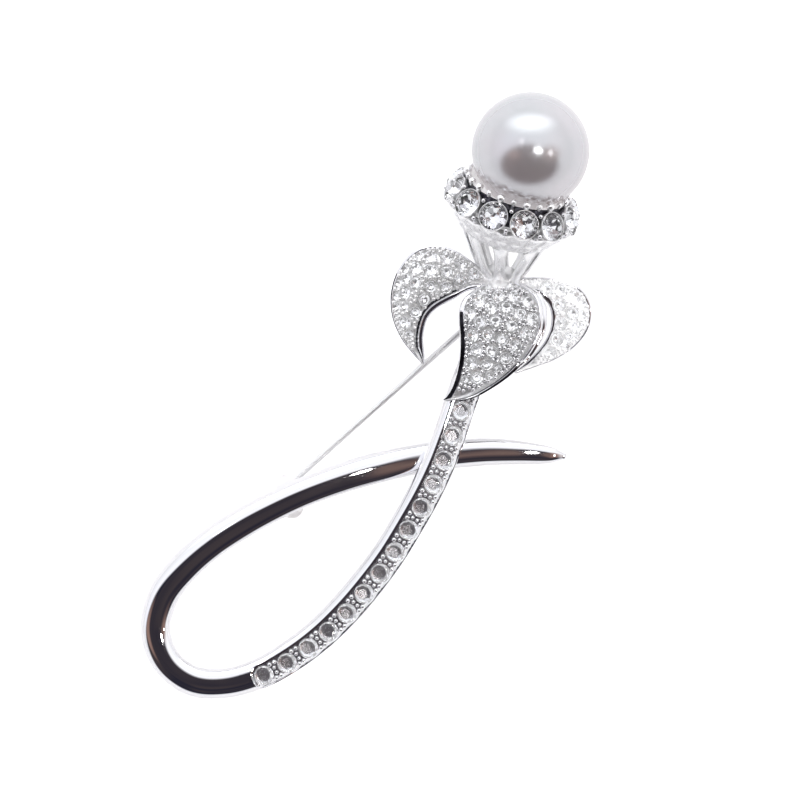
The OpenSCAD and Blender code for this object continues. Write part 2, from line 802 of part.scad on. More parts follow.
BARREL_R = 0.85;
BARREL_LENGTH = 1.0;
EAR_THICK = 0.55;
EAR_R = 0.75;
EAR_GAP = BARREL_LENGTH + 2 * seam;
BRACKET_FOOT = 0.95;
BRACKET_TOP = 1.6;
BRACKET_SEAM = 0.06;
BRACKET_W = EAR_GAP + 2 * EAR_THICK;
RIVET_LENGTH = BRACKET_W + 0.3;
// Radial clearance of the rivet in the pin's barrel, which turns, and in the ears
RUNNING_GAP = 0.05;
RIVET_GAP = 0.02;
PIN_POINT_D = 0.1;

module across_pin(length) {
    rotate([90, 0, 0]) translate([0, 0, -length / 2]) children();
}

module bracket_ear(side) {
    translate([0, side * (EAR_GAP + EAR_THICK) / 2, 0]) {
        across_pin(EAR_THICK) cylinder(r = EAR_R, h = EAR_THICK, $fn = 32);
        translate([-EAR_R, -EAR_THICK / 2, 0]) cube([2 * EAR_R, EAR_THICK, BRACKET_TOP]);
    }
}

module hinge_bracket() color(STEEL) {
    difference() {
        on_pin()
            union() {
                bracket_ear(-1);
                bracket_ear(1);
                translate([-EAR_R, -BRACKET_W / 2, BRACKET_FOOT])
                    cube([2 * EAR_R, BRACKET_W, BRACKET_TOP - BRACKET_FOOT]);
            }
        on_pin()
            across_pin(BRACKET_W + 1)
                cylinder(d = rivet_d + 2 * RIVET_GAP, h = BRACKET_W + 1, $fn = 32);
        stem_end(BRACKET_SEAM);
    }
}

module hinge_rivet() color(STEEL) {
    on_pin() across_pin(RIVET_LENGTH) cylinder(d = rivet_d, h = RIVET_LENGTH, $fn = 32);
}

module pin_stem() color(STEEL) {
    on_pin()
        difference() {
            union() {
                across_pin(BARREL_LENGTH) cylinder(r = BARREL_R, h = BARREL_LENGTH, $fn = 32);
                rotate([0, 90, 0]) cylinder(d = pin_d, h = pin_length - pin_taper, $fn = 32);
                translate([pin_length - pin_taper, 0, 0])
                    rotate([0, 90, 0]) cylinder(d1 = pin_d, d2 = PIN_POINT_D, h = pin_taper, $fn = 32);
            }
            across_pin(BARREL_LENGTH + 1)
                cylinder(d = rivet_d + 2 * RUNNING_GAP, h = BARREL_LENGTH + 1, $fn = 32);
        }
}

// Catch: a pad across the loop's arm and a rolled hook, open below, that the pin lies in
CATCH_ALONG = 27.2;
CATCH_R = 1.3;
CATCH_BORE_R = 0.62;
CATCH_MOUTH = pin_d + 0.25;
CATCH_PAD_Z = 2.36;
CATCH_PAD_THICK = 0.45;
CATCH_PAD_SHIFT = 0.9;
CATCH_PAD_W = 2.1;
CATCH_PAD_TURN = 63.6;

module catch_pad_outline() {
    reach = (catch_pad_length - CATCH_PAD_W) / 2;
    hull() {
        translate([-reach, 0]) circle(d = CATCH_PAD_W, $fn = 48);
        translate([reach, 0]) circle(d = CATCH_PAD_W, $fn = 48);
    }
}

module catch() color(STEEL) {
    on_pin()
        translate([CATCH_ALONG, 0, 0]) {
            translate([-catch_length / 2, 0, 0])
                rotate([90, 0, 90])
                    linear_extrude(catch_length)
                        difference() {
                            circle(r = CATCH_R, $fn = 48);
                            circle(r = CATCH_BORE_R, $fn = 48);
                            translate([-CATCH_MOUTH / 2, -2 * CATCH_R]) square([CATCH_MOUTH, 2 * CATCH_R]);
                        }
            translate([0, CATCH_PAD_SHIFT, CATCH_PAD_Z - pin_z])
                rotate([0, 0, CATCH_PAD_TURN])
                    linear_extrude(CATCH_PAD_THICK)
                        catch_pad_outline();
        }
}

stem();
calyx();
crown();
pearl();
for (i = [0:collar_count - 1])
    collar_stone(i);
for (i = [0:stem_stone_count - 1])
    stem_stone(i);
left_leaf_stones();
front_leaf_stones();
right_leaf_stones();
catch();
hinge_bracket();
hinge_rivet();
pin_stem();
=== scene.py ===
"""Looks of the flower bud brooch: a looped rod with a row of stones, three stone-set
leaves, and a crown of stones that carries a pearl. Lengths are in millimetres until a
piece is seated, which scales it to metres."""
import logging
import math
from collections.abc import Iterable, Sequence
from dataclasses import dataclass, field
from enum import Enum

import bmesh
import bpy
from bmesh.types import BMEdge, BMesh, BMVert
from mathutils import Matrix, Vector


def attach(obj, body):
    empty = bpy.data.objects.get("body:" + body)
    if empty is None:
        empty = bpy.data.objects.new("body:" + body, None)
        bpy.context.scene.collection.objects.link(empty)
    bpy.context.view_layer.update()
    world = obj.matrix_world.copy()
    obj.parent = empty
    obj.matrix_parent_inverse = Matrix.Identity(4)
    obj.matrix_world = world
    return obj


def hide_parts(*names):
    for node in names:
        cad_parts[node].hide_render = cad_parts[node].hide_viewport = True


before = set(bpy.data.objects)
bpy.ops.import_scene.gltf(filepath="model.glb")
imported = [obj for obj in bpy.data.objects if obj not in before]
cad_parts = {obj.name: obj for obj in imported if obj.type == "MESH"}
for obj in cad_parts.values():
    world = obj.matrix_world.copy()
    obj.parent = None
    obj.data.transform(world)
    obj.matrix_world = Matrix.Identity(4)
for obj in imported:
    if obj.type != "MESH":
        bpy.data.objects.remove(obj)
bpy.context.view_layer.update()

MM = 0.001
LOG = logging.getLogger("brooch")

Row = Sequence[float]
Rings = Sequence[Sequence[Vector]]
Outline = Sequence[tuple[float, float]]
Span = tuple[float, float]
Colour = tuple[float, float, float]

WHITE: Colour = (1.0, 1.0, 1.0)


class Body(Enum):
    """Moving bodies of the brooch."""

    BROOCH = "brooch"
    PIN = "pin"


class Slot(Enum):
    """Material slots of the record."""

    METAL = "bright_metal"
    STEEL = "pin_steel"
    STONE = "clear_stone"
    PEARL = "pearl"


# Curves and places


def row_at(rows: Sequence[Row], s: float) -> list[float]:
    """Reads a smooth curve that passes through every row of a table.

    Args:
        rows: The table.
        s: The place on the curve, in rows.

    Returns:
        The values there, one for each column.
    """
    last = len(rows) - 1
    i = max(0, min(math.floor(s), last - 1))
    t = s - i
    a, b, c, d = (rows[max(0, min(last, i + k))] for k in (-1, 0, 1, 2))
    return [
        (2 * q + (r - p) * t + (2 * p - 5 * q + 4 * r - w) * t**2 + (3 * q - p - 3 * r + w) * t**3) / 2
        for p, q, r, w in zip(a, b, c, d)
    ]


def ease(x: float) -> float:
    """Returns a smooth step of x, from 0 at 0 to 1 at 1."""
    x = max(0.0, min(1.0, x))
    return x * x * (3 - 2 * x)


def placed(u: Vector, t: Vector, v: Vector, p: Vector) -> Matrix:
    """Returns the place whose x, y and z directions are u, t and v, at the point p."""
    return Matrix(((u.x, t.x, v.x, p.x), (u.y, t.y, v.y, p.y), (u.z, t.z, v.z, p.z), (0, 0, 0, 1)))


def turned(degrees: float, axis: str) -> Matrix:
    """Returns a turn about an axis through the origin."""
    return Matrix.Rotation(math.radians(degrees), 4, axis)


def moved(x: float, y: float, z: float) -> Matrix:
    """Returns a shift."""
    return Matrix.Translation((x, y, z))


def round_points(radius: float, count: int, z: float = 0.0) -> list[Vector]:
    """Returns points on a level circle round the z axis."""
    step = 2 * math.pi / count
    return [Vector((radius * math.cos(k * step), radius * math.sin(k * step), z)) for k in range(count)]


# Working the metal


def draw_out(bm: BMesh, rings: Rings, capped: bool = True) -> list[list[BMVert]]:
    """Draws a loop of edges out from ring to ring, into a skin.

    Args:
        bm: The mesh that takes the skin.
        rings: The rings that it passes through, with the same number of points each.
        capped: Whether the first and last ring are closed.

    Returns:
        The skin's points, ring by ring.
    """
    count = len(rings[0])
    loop = list(bmesh.ops.create_circle(bm, segments=count, radius=1.0)["verts"])
    for vert, point in zip(loop, rings[0]):
        vert.co = point
    first = [bm.edges.get((loop[k], loop[(k + 1) % count])) for k in range(count)]
    edges = first
    loops = [loop]
    for ring in rings[1:]:
        grown = bmesh.ops.extrude_edge_only(bm, edges=edges)["geom"]
        fresh = {g for g in grown if isinstance(g, BMVert)}
        loop = [next(v for e in old.link_edges if (v := e.other_vert(old)) in fresh) for old in loop]
        for vert, point in zip(loop, ring):
            vert.co = point
        edges = [bm.edges.get((loop[k], loop[(k + 1) % count])) for k in range(count)]
        loops.append(loop)
    if capped:
        bmesh.ops.holes_fill(bm, edges=[*first, *edges], sides=0)
    return loops


def turned_shape(outline: Outline, steps: int, place: Matrix | None = None, closed: bool = False) -> BMesh:
    """Turns an outline round the z axis and puts the shape in its place.

    Args:
        outline: Radius and height of the outline's points.
        steps: Number of steps of the turn.
        place: Where the shape goes. Without one it stays at the origin.
        closed: Whether the outline is a ring that doesn't start and end on the axis.

    Returns:
        The shape's mesh.
    """
    bm = bmesh.new()
    verts = [bmesh.ops.create_vert(bm, co=(r, 0.0, z))["vert"][0] for r, z in outline]
    pairs = list(zip(verts, verts[1:]))
    if closed:
        pairs.append((verts[-1], verts[0]))
    edges = [bmesh.ops.contextual_create(bm, geom=pair)["edges"][0] for pair in pairs]
    bmesh.ops.spin(
        bm, geom=[*verts, *edges], cent=(0, 0, 0), axis=(0, 0, 1), dvec=(0, 0, 0),
        angle=2 * math.pi, space=Matrix.Identity(4), steps=steps, use_merge=True,
        use_normal_flip=False, use_duplicate=False,
    )
    if place is not None:
        bmesh.ops.transform(bm, matrix=place, verts=bm.verts)
    tidy_skin(bm)
    return bm


def tidy_skin(bm: BMesh, reach: float = 1e-4) -> None:
    """Merges doubles and turns every face outward.

    Args:
        bm: The mesh.
        reach: Distance under which points merge.
    """
    bmesh.ops.remove_doubles(bm, verts=bm.verts, dist=reach)
    bmesh.ops.dissolve_degenerate(bm, edges=bm.edges, dist=reach)
    bmesh.ops.recalc_face_normals(bm, faces=bm.faces)


def join(bm: BMesh, other: BMesh) -> None:
    """Adds another mesh to a mesh, and frees the other.

    Args:
        bm: The mesh that takes the other.
        other: The mesh that is added.
    """
    passing = bpy.data.meshes.new("passing")
    other.to_mesh(passing)
    other.free()
    bm.from_mesh(passing)
    bpy.data.meshes.remove(passing)


def copies(shape: BMesh, places: Iterable[Matrix]) -> BMesh:
    """Lays copies of one shape at many places.

    Args:
        shape: The shape, which is freed.
        places: Where each copy goes.

    Returns:
        A mesh with all the copies.
    """
    pattern = bpy.data.meshes.new("pattern")
    shape.to_mesh(pattern)
    shape.free()
    laid = bmesh.new()
    for place in places:
        start = len(laid.verts)
        laid.from_mesh(pattern)
        laid.verts.ensure_lookup_table()
        bmesh.ops.transform(laid, matrix=place, verts=laid.verts[start:])
    bpy.data.meshes.remove(pattern)
    return laid


@dataclass(frozen=True)
class Card:
    """What the bench needs to know about a finished piece. A crease of 0 leaves its faces flat."""

    name: str
    slot: Slot
    body: Body = Body.BROOCH
    stands_for: tuple[str, ...] = ()
    crease: float = 38.0


def seat(bm: BMesh, card: Card, finishes: Sequence[bpy.types.Material]) -> bpy.types.Object:
    """Makes a finished piece from a mesh and seats it on its body.

    Args:
        bm: The mesh in millimetres, which is freed.
        card: The piece's name, slot, body and the nodes that it stands for.
        finishes: The piece's materials, in the order of the faces' numbers.

    Returns:
        The piece's object.
    """
    bmesh.ops.scale(bm, vec=(MM, MM, MM), verts=bm.verts)
    mesh = bpy.data.meshes.new(card.name)
    bm.to_mesh(mesh)
    bm.free()
    for finish in finishes:
        mesh.materials.append(finish)
    if card.crease > 0:
        mesh.shade_smooth()
        mesh.set_sharp_from_angle(angle=math.radians(card.crease))
    else:
        mesh.shade_flat()
    piece = bpy.data.objects.new(card.name, mesh)
    bpy.context.scene.collection.objects.link(piece)
    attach(piece, card.body.value)
    if card.stands_for:
        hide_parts(*card.stands_for)
    LOG.info("%s: %d faces", card.name, len(mesh.polygons))
    return piece


# Finishes


class Bench:
    """A node tree that is being wired."""

    def __init__(self, tree: bpy.types.NodeTree) -> None:
        """Clears the tree and keeps it."""
        tree.nodes.clear()
        self.tree = tree

    def add(self, kind: str, settings: dict[str, object] | None = None, **inputs: object) -> bpy.types.Node:
        """Adds a node.

        Args:
            kind: The node's type, without the ShaderNode in front.
            settings: Properties of the node.
            **inputs: Sockets by name, with _ for a blank: a value, or a socket to link.

        Returns:
            The node.
        """
        node = self.tree.nodes.new("ShaderNode" + kind)
        for key, value in (settings or {}).items():
            setattr(node, key, value)
        for key, value in inputs.items():
            socket = self.socket(node, key)
            if isinstance(value, bpy.types.NodeSocket):
                self.tree.links.new(value, socket)
            else:
                socket.default_value = value
        return node

    @staticmethod
    def socket(node: bpy.types.Node, key: str) -> bpy.types.NodeSocket:
        """Returns an input by its name or, for in0 to in9, by its number.

        Args:
            node: The node.
            key: The input's name with _ for a blank, or in0 to in9.

        Returns:
            The input.
        """
        if key[:2] == "in" and key[2:].isdigit():
            return node.inputs[int(key[2:])]
        return node.inputs[key.replace("_", " ")]

    def math(self, operation: str, *values: object, clamp: bool = False) -> bpy.types.NodeSocket:
        """Adds a math node and returns its result."""
        inputs = {f"in{k}": value for k, value in enumerate(values)}
        return self.add("Math", {"operation": operation, "use_clamp": clamp}, **inputs).outputs[0]

    def blend(self, share: object, a: object, b: object) -> bpy.types.NodeSocket:
        """Mixes two colours by a share and returns the result.

        Args:
            share: Share of the second colour.
            a: First colour.
            b: Second colour.

        Returns:
            A socket with the mixed colour.
        """
        node = self.add("Mix", {"data_type": "RGBA"}, Factor=share)
        for socket, value in ((node.inputs[6], a), (node.inputs[7], b)):
            if isinstance(value, bpy.types.NodeSocket):
                self.tree.links.new(value, socket)
            else:
                socket.default_value = value
        return node.outputs[2]

    def span(self, value: object, band: Span, to: Span = (0.0, 1.0)) -> bpy.types.NodeSocket:
        """Maps a band of a value onto another span, held at its ends.

        Args:
            value: The value.
            band: Where the change starts and ends.
            to: What the value becomes there.

        Returns:
            A socket with the new value.
        """
        return self.add(
            "MapRange", {"clamp": True}, Value=value,
            From_Min=band[0], From_Max=band[1], To_Min=to[0], To_Max=to[1],
        ).outputs[0]

    def reach(self, u: object, v: object) -> bpy.types.NodeSocket:
        """Returns the distance of the point u, v from the origin."""
        squares = (self.math("MULTIPLY", value, value) for value in (u, v))
        return self.math("SQRT", self.math("ADD", *squares))

    def coordinates(self) -> bpy.types.NodeSocket:
        """Returns the piece's own coordinates."""
        return self.add("TexCoord").outputs["Object"]

    def noise(self, where: object, scale: float, detail: float = 3.0) -> bpy.types.NodeSocket:
        """Adds a noise texture and returns its value."""
        return self.add("TexNoise", None, Vector=where, Scale=scale, Detail=detail).outputs[0]

    def relief(self, height: object, strength: float, depth: float) -> bpy.types.NodeSocket:
        """Returns the normals of a fine relief."""
        return self.add("Bump", None, Strength=strength, Distance=depth, Height=height).outputs[0]

    def surface(self, **inputs: object) -> None:
        """Gives the surface its shader, with these inputs."""
        shader = self.add("BsdfPrincipled", None, **inputs)
        self.tree.links.new(shader.outputs[0], self.add("OutputMaterial").inputs["Surface"])


def blank_finish(name: str) -> tuple[bpy.types.Material, Bench]:
    """Returns a new material and the bench on which it is wired.

    Args:
        name: The material's name.

    Returns:
        The material and its bench.
    """
    finish = bpy.data.materials.new(name)
    finish.use_nodes = True
    return finish, Bench(finish.node_tree)


def paint(colour: Colour) -> tuple[float, float, float, float]:
    """Returns a colour with its alpha."""
    return (*colour, 1.0)


@dataclass(frozen=True)
class MetalFinish:
    """A plated metal or drawn steel, paler where its edges are worn. Some copies give off a faint painted
    glow, light of their own that stands in for light falling on them.
    """

    name: str
    colour: Colour
    worn: Colour
    gloss: Span
    cloud: float = 420.0
    cloud_band: Span = (0.35, 0.7)
    cloud_share: float = 0.6
    grain: float = 9000.0
    grain_band: Span = (0.5, 1.1)
    edge_band: Span = (0.46, 0.56)
    most_worn: float = 0.5
    stretch: tuple[float, float, float] = (1.0, 1.0, 1.0)
    turn: float = 0.0
    relief: float = 0.03
    relief_depth: float = 4e-6
    # painted light: strength of a glow of the metal's own, standing in for light that falls on it
    painted_glow: float = 0.0

    def material(self) -> bpy.types.Material:
        """Wires the metal's material and returns it.

        Returns:
            The material.
        """
        finish, bench = blank_finish(self.name)
        where = bench.coordinates()
        lay = bench.add(
            "Mapping", None, Vector=where, Rotation=(0.0, 0.0, math.radians(self.turn)), Scale=self.stretch
        ).outputs[0]
        cloud = bench.noise(where, self.cloud, 4.0)
        grain = bench.noise(lay, self.grain, 2.0)
        edges = bench.span(bench.add("NewGeometry").outputs["Pointiness"], self.edge_band)
        wear = bench.math("MULTIPLY", bench.span(cloud, self.cloud_band, (0.0, self.most_worn)), edges)
        mixed = bench.math("ADD", grain, bench.math("MULTIPLY", cloud, self.cloud_share))
        bench.surface(
            Base_Color=bench.blend(wear, paint(self.colour), paint(self.worn)),
            Metallic=1.0,
            Roughness=bench.span(mixed, self.grain_band, self.gloss),
            # painted light: the metal's own faint glow
            Emission_Color=paint(WHITE),
            Emission_Strength=self.painted_glow,
            Normal=bench.relief(grain, self.relief, self.relief_depth),
        )
        return finish


@dataclass(frozen=True)
class CrystalFinish:
    """Clear cut crystal, with a thin film and fine scuffs."""

    name: str = "clear_crystal"
    colour: Colour = WHITE
    film_colour: Colour = (0.97, 0.98, 1.0)
    film: float = 900.0
    film_band: Span = (0.55, 0.8)
    film_gloss: Span = (0.0, 0.02)
    scuff: float = 26000.0
    relief: float = 0.01
    relief_depth: float = 1e-6
    bend: float = 1.55

    def material(self) -> bpy.types.Material:
        """Wires the crystal's material and returns it.

        Returns:
            The material.
        """
        finish, bench = blank_finish(self.name)
        where = bench.coordinates()
        film = bench.noise(where, self.film, 2.0)
        scuff = bench.noise(where, self.scuff, 1.0)
        bench.surface(
            Base_Color=bench.blend(film, paint(self.colour), paint(self.film_colour)),
            Metallic=0.0,
            Roughness=bench.span(film, self.film_band, self.film_gloss),
            IOR=self.bend,
            Transmission_Weight=1.0,
            Normal=bench.relief(scuff, self.relief, self.relief_depth),
        )
        return finish


@dataclass(frozen=True)
class FoilFinish:
    """Mirror foil on the back of a cut stone. Some copies give off a painted glow of their own."""

    name: str = "mirror_foil"
    colour: Colour = (0.98, 0.98, 0.985)
    dull: Colour = (0.88, 0.88, 0.9)
    cloud: float = 1500.0
    dull_band: Span = (0.45, 0.75)
    gloss: float = 0.04
    gloss_band: Span = (0.3, 0.8)
    gloss_change: float = 0.08
    # painted light: strength of a glow of the foil's own, which brightens the stone
    painted_foil_glow: float = 0.0

    def material(self) -> bpy.types.Material:
        """Wires the foil's material and returns it.

        Returns:
            The material.
        """
        finish, bench = blank_finish(self.name)
        cloud = bench.noise(bench.coordinates(), self.cloud, 2.0)
        bench.surface(
            Base_Color=bench.blend(bench.span(cloud, self.dull_band), paint(self.colour), paint(self.dull)),
            Metallic=1.0,
            Roughness=bench.span(cloud, self.gloss_band, (self.gloss, self.gloss + self.gloss_change)),
            Emission_Color=paint(WHITE),
            Emission_Strength=self.painted_foil_glow,
        )
        return finish


@dataclass(frozen=True)
class PearlFinish:
    """Lustre of a shell-coated bead, with a faint warm painted glow."""

    name: str = "pearl_lustre"
    colour: Colour = (0.58, 0.625, 0.655)
    warm: Colour = (0.625, 0.64, 0.675)
    lustre: float = 0.7
    cloud: float = 160.0
    cloud_band: Span = (0.35, 0.65)
    skin: float = 2600.0
    skin_band: Span = (0.3, 0.7)
    gloss: Span = (0.2, 0.26)
    relief: float = 0.04
    relief_depth: float = 6e-6
    coat: float = 0.2
    coat_gloss: float = 0.12
    # painted light: colour and strength of a faint warm glow that the bead gives off
    depth: Colour = (1.0, 0.6, 0.5)
    painted_warm_glow: float = 0.075

    def material(self) -> bpy.types.Material:
        """Wires the pearl's material and returns it.

        Returns:
            The material.
        """
        finish, bench = blank_finish(self.name)
        where = bench.coordinates()
        cloud = bench.span(bench.noise(where, self.cloud), self.cloud_band)
        skin = bench.noise(where, self.skin)
        bench.surface(
            Base_Color=bench.blend(cloud, paint(self.colour), paint(self.warm)),
            Metallic=self.lustre,
            Roughness=bench.span(skin, self.skin_band, self.gloss),
            Coat_Weight=self.coat,
            Coat_Roughness=self.coat_gloss,
            Coat_IOR=1.5,
            # painted light: the bead's warm glow
            Emission_Color=paint(self.depth),
            Emission_Strength=self.painted_warm_glow,
            Normal=bench.relief(skin, self.relief, self.relief_depth),
        )
        return finish


@dataclass(frozen=True)
class FloorFinish:
    """Pale matt board under the brooch."""

    name: str = "pale_board"
    colour: Colour = (0.93, 0.93, 0.935)
    fibre_colour: Colour = (0.96, 0.96, 0.965)
    fibre: float = 1400.0
    gloss: float = 0.8
    glow: float = 0.3
    seen_glow: float = 0.7

    def material(self) -> bpy.types.Material:
        """Wires the floor's material and returns it.

        Returns:
            The material.
        """
        finish, bench = blank_finish(self.name)
        fibre = bench.noise(bench.coordinates(), self.fibre)
        seen = bench.add("LightPath").outputs["Is Camera Ray"]
        bench.surface(
            Base_Color=bench.blend(fibre, paint(self.colour), paint(self.fibre_colour)),
            Roughness=self.gloss,
            Emission_Color=paint(WHITE),
            Emission_Strength=bench.span(seen, (0.0, 1.0), (self.glow, self.seen_glow)),
        )
        return finish


class Finishes:
    """All the finishes of the brooch, made once."""

    def __init__(self) -> None:
        """Makes the materials."""
        matt = {"grain": 16000.0, "relief": 0.2}
        self.rhodium = MetalFinish(
            "polished_plating", (0.88, 0.88, 0.9), (0.94, 0.93, 0.93), (0.015, 0.06)
        ).material()
        self.setting = MetalFinish(
            "setting_plating", (0.9, 0.9, 0.915), (0.97, 0.97, 0.975), (0.12, 0.26),
            grain=14000.0, relief=0.12,
        ).material()
        self.frosted = MetalFinish(
            "frosted_plating", (0.95, 0.95, 0.955), (0.98, 0.98, 0.98), (0.3, 0.48), **matt
        ).material()
        # painted light: satin plating with a faint glow of its own
        self.satin = MetalFinish(
            "satin_plating", (0.94, 0.94, 0.95), (0.98, 0.98, 0.98), (0.2, 0.34),
            grain=15000.0, relief=0.15, painted_glow=0.07,
        ).material()
        # painted light: pale plating with a glow of its own
        self.pale = MetalFinish(
            "pale_plating", (0.94, 0.94, 0.945), (0.99, 0.99, 0.99), (0.4, 0.6), painted_glow=0.16, **matt
        ).material()
        # painted light: stone bed plating with a faint glow of its own
        self.bed = MetalFinish(
            "stone_bed", (0.94, 0.94, 0.945), (0.99, 0.99, 0.99), (0.26, 0.45), painted_glow=0.07, **matt
        ).material()
        # painted light: a copy of the stone bed that glows more strongly
        self.painted_glow_bed = MetalFinish(
            "painted_glow_bed", (0.95, 0.95, 0.955), (0.99, 0.99, 0.99), (0.3, 0.5), painted_glow=0.22, **matt
        ).material()
        # painted light: a glowing plating for the shaded hollow under the pearl
        self.painted_light_seat = MetalFinish(
            "painted_light_seat", (0.95, 0.95, 0.96), (0.99, 0.99, 0.99), (0.4, 0.6), relief=0.2, painted_glow=0.26
        ).material()
        # painted shade: near-black plating laid where shade and dark reflections fall, on the gallery wall
        # and on bands of the leaf rims
        self.recess = MetalFinish(
            "painted_shade_plating", (0.045, 0.043, 0.055), (0.3, 0.3, 0.31), (0.12, 0.26), relief=0.1
        ).material()
        self.wire = MetalFinish(
            "drawn_steel", (0.84, 0.84, 0.845), (0.92, 0.92, 0.92), (0.36, 0.52),
            stretch=(0.04, 1.0, 1.0), turn=-PinFrame.turn, relief=0.1,
        ).material()
        self.crystal = CrystalFinish().material()
        self.foil = FoilFinish().material()
        # painted light: these three foils glow, more or less, to brighten their stones
        self.stem_foil = FoilFinish("stem_foil", gloss=0.0, painted_foil_glow=0.2).material()
        self.painted_glow_foil = FoilFinish("painted_glow_foil", painted_foil_glow=0.11).material()
        self.painted_bright_foil = FoilFinish("painted_bright_foil", painted_foil_glow=0.24).material()
        self.lustre = PearlFinish().material()


# Cut stones


@dataclass(frozen=True)
class Facet:
    """A ring of equal facets on a cut stone of radius 1. Angles are in degrees."""

    count: int
    start: float
    tilt: float
    reach: float = 1.0
    height: float = 0.0


@dataclass(frozen=True)
class Cut:
    """A cut stone of radius 1 mm, with its girdle at z = 0."""

    top: float
    crown: tuple[Facet, ...]
    pavilion: tuple[Facet, ...]
    sides: int = 32
    bottom: float = -0.9

    def rough(self) -> BMesh:
        """Makes the turned blank that the facets are cut from.

        Returns:
            The blank's mesh.
        """
        bm = bmesh.new()
        bmesh.ops.create_cone(
            bm, cap_ends=True, cap_tris=False, segments=self.sides, radius1=1.0, radius2=1.0,
            depth=self.top - self.bottom,
            matrix=moved(0, 0, (self.top + self.bottom) / 2) @ turned(180 / self.sides, "Z"),
        )
        return bm

    def grind(self, bm: BMesh, facet: Facet, upper: bool) -> None:
        """Cuts one ring of facets from the stone.

        Args:
            bm: The stone.
            facet: The ring of facets.
            upper: Whether the facets look up.
        """
        tilt = math.radians(facet.tilt)
        for k in range(facet.count):
            q = math.radians(facet.start + 360 / facet.count * k)
            out = Vector((math.cos(q), math.sin(q), 0))
            normal = out * math.sin(tilt) + Vector((0, 0, math.cos(tilt) if upper else -math.cos(tilt)))
            cut = bmesh.ops.bisect_plane(
                bm, geom=[*bm.verts, *bm.edges, *bm.faces], dist=1e-5,
                plane_co=out * facet.reach + Vector((0, 0, facet.height)), plane_no=normal, clear_outer=True,
            )
            rim = [e for e in cut["geom_cut"] if isinstance(e, BMEdge)]
            if rim:
                bmesh.ops.holes_fill(bm, edges=rim, sides=0)

    def stone(self) -> BMesh:
        """Cuts the stone. Faces under the girdle take material 1.

        Returns:
            The stone's mesh.
        """
        bm = self.rough()
        for facet in self.crown:
            self.grind(bm, facet, True)
        for facet in self.pavilion:
            self.grind(bm, facet, False)
        tidy_skin(bm)
        for face in bm.faces:
            face.material_index = 1 if face.normal.z < -0.2 else 0
        return bm


# Height of a large stone's lower girdle edge.
BELT = -0.06


def brilliant(top: float, main: float, half: float) -> Cut:
    """Returns a round brilliant cut.

    Args:
        top: Height of its flat top.
        main: Tilt of the eight main facets under the girdle, in degrees.
        half: Tilt of the sixteen smaller facets beside them, in degrees.

    Returns:
        The cut.
    """
    return Cut(
        top=top,
        crown=(Facet(8, 0, 36), Facet(16, 11.25, 41, 0.992), Facet(8, 22.5, 19, 0.525, top)),
        pavilion=(Facet(8, 0, main, 1.0, BELT), Facet(16, 11.25, half, 0.992, BELT)),
    )


CROWN_CUT = brilliant(0.32, 36, 38.5)
STEM_CUTS = (
    brilliant(0.33, 33, 35),
    Cut(
        top=0.33,
        crown=(Facet(8, 0, 38), Facet(8, 22.5, 20, 0.525, 0.33)),
        pavilion=(Facet(8, 0, 31.5, 1.0, BELT), Facet(16, 11.25, 37, 0.992, BELT)),
    ),
    brilliant(0.33, 36, 38.5),
)
SMALL_CUT = Cut(
    sides=16, top=0.34, crown=(Facet(8, 0, 37),), pavilion=(Facet(8, 22.5, 30, 1.0, -0.05),)
)


# Stem

# The stem's middle line from the flower's neck round the loop to the tail's tip: x, y,
# z of the rod's middle, and the rod's width.
STEM_ROWS: list[Row] = [
    (13.3, 10.1, 3.75, 2.8), (12.8, 8.3, 4.05, 3.0), (11.8, 5.4, 4.3, 3.2), (10.7, 2.4, 4.5, 3.3),
    (9.6, -0.6, 4.6, 3.3), (8.6, -3.6, 4.7, 3.35), (7.4, -6.8, 4.7, 3.4), (5.9, -10.0, 4.65, 3.45),
    (4.15, -13.1, 4.55, 3.4), (2.3, -16.1, 4.4, 3.4), (0.15, -19.0, 4.25, 3.45), (-2.15, -21.7, 4.1, 3.45),
    (-4.7, -24.2, 3.95, 3.35), (-7.6, -26.4, 3.8, 3.3), (-10.8, -28.2, 3.65, 3.15),
    (-14.2, -29.2, 3.5, 3.05), (-17.6, -29.0, 3.5, 3.1), (-20.3, -27.0, 3.5, 3.05),
    (-21.45, -23.8, 3.55, 3.05), (-20.6, -20.3, 3.7, 3.2), (-18.5, -17.4, 3.9, 3.2),
    (-15.9, -15.1, 4.1, 3.15), (-12.9, -13.1, 4.25, 3.15), (-9.8, -11.4, 4.35, 3.05),
    (-6.6, -9.9, 4.3, 3.0), (-3.2, -8.6, 4.05, 3.05), (0.3, -7.5, 3.6, 3.15), (4.0, -6.65, 2.95, 3.1),
    (8.0, -6.0, 2.2, 3.0), (11.8, -5.7, 1.6, 2.8), (15.4, -5.75, 1.12, 2.4), (18.6, -6.0, 0.92, 1.75),
    (20.1, -6.15, 0.8, 0.7),
]


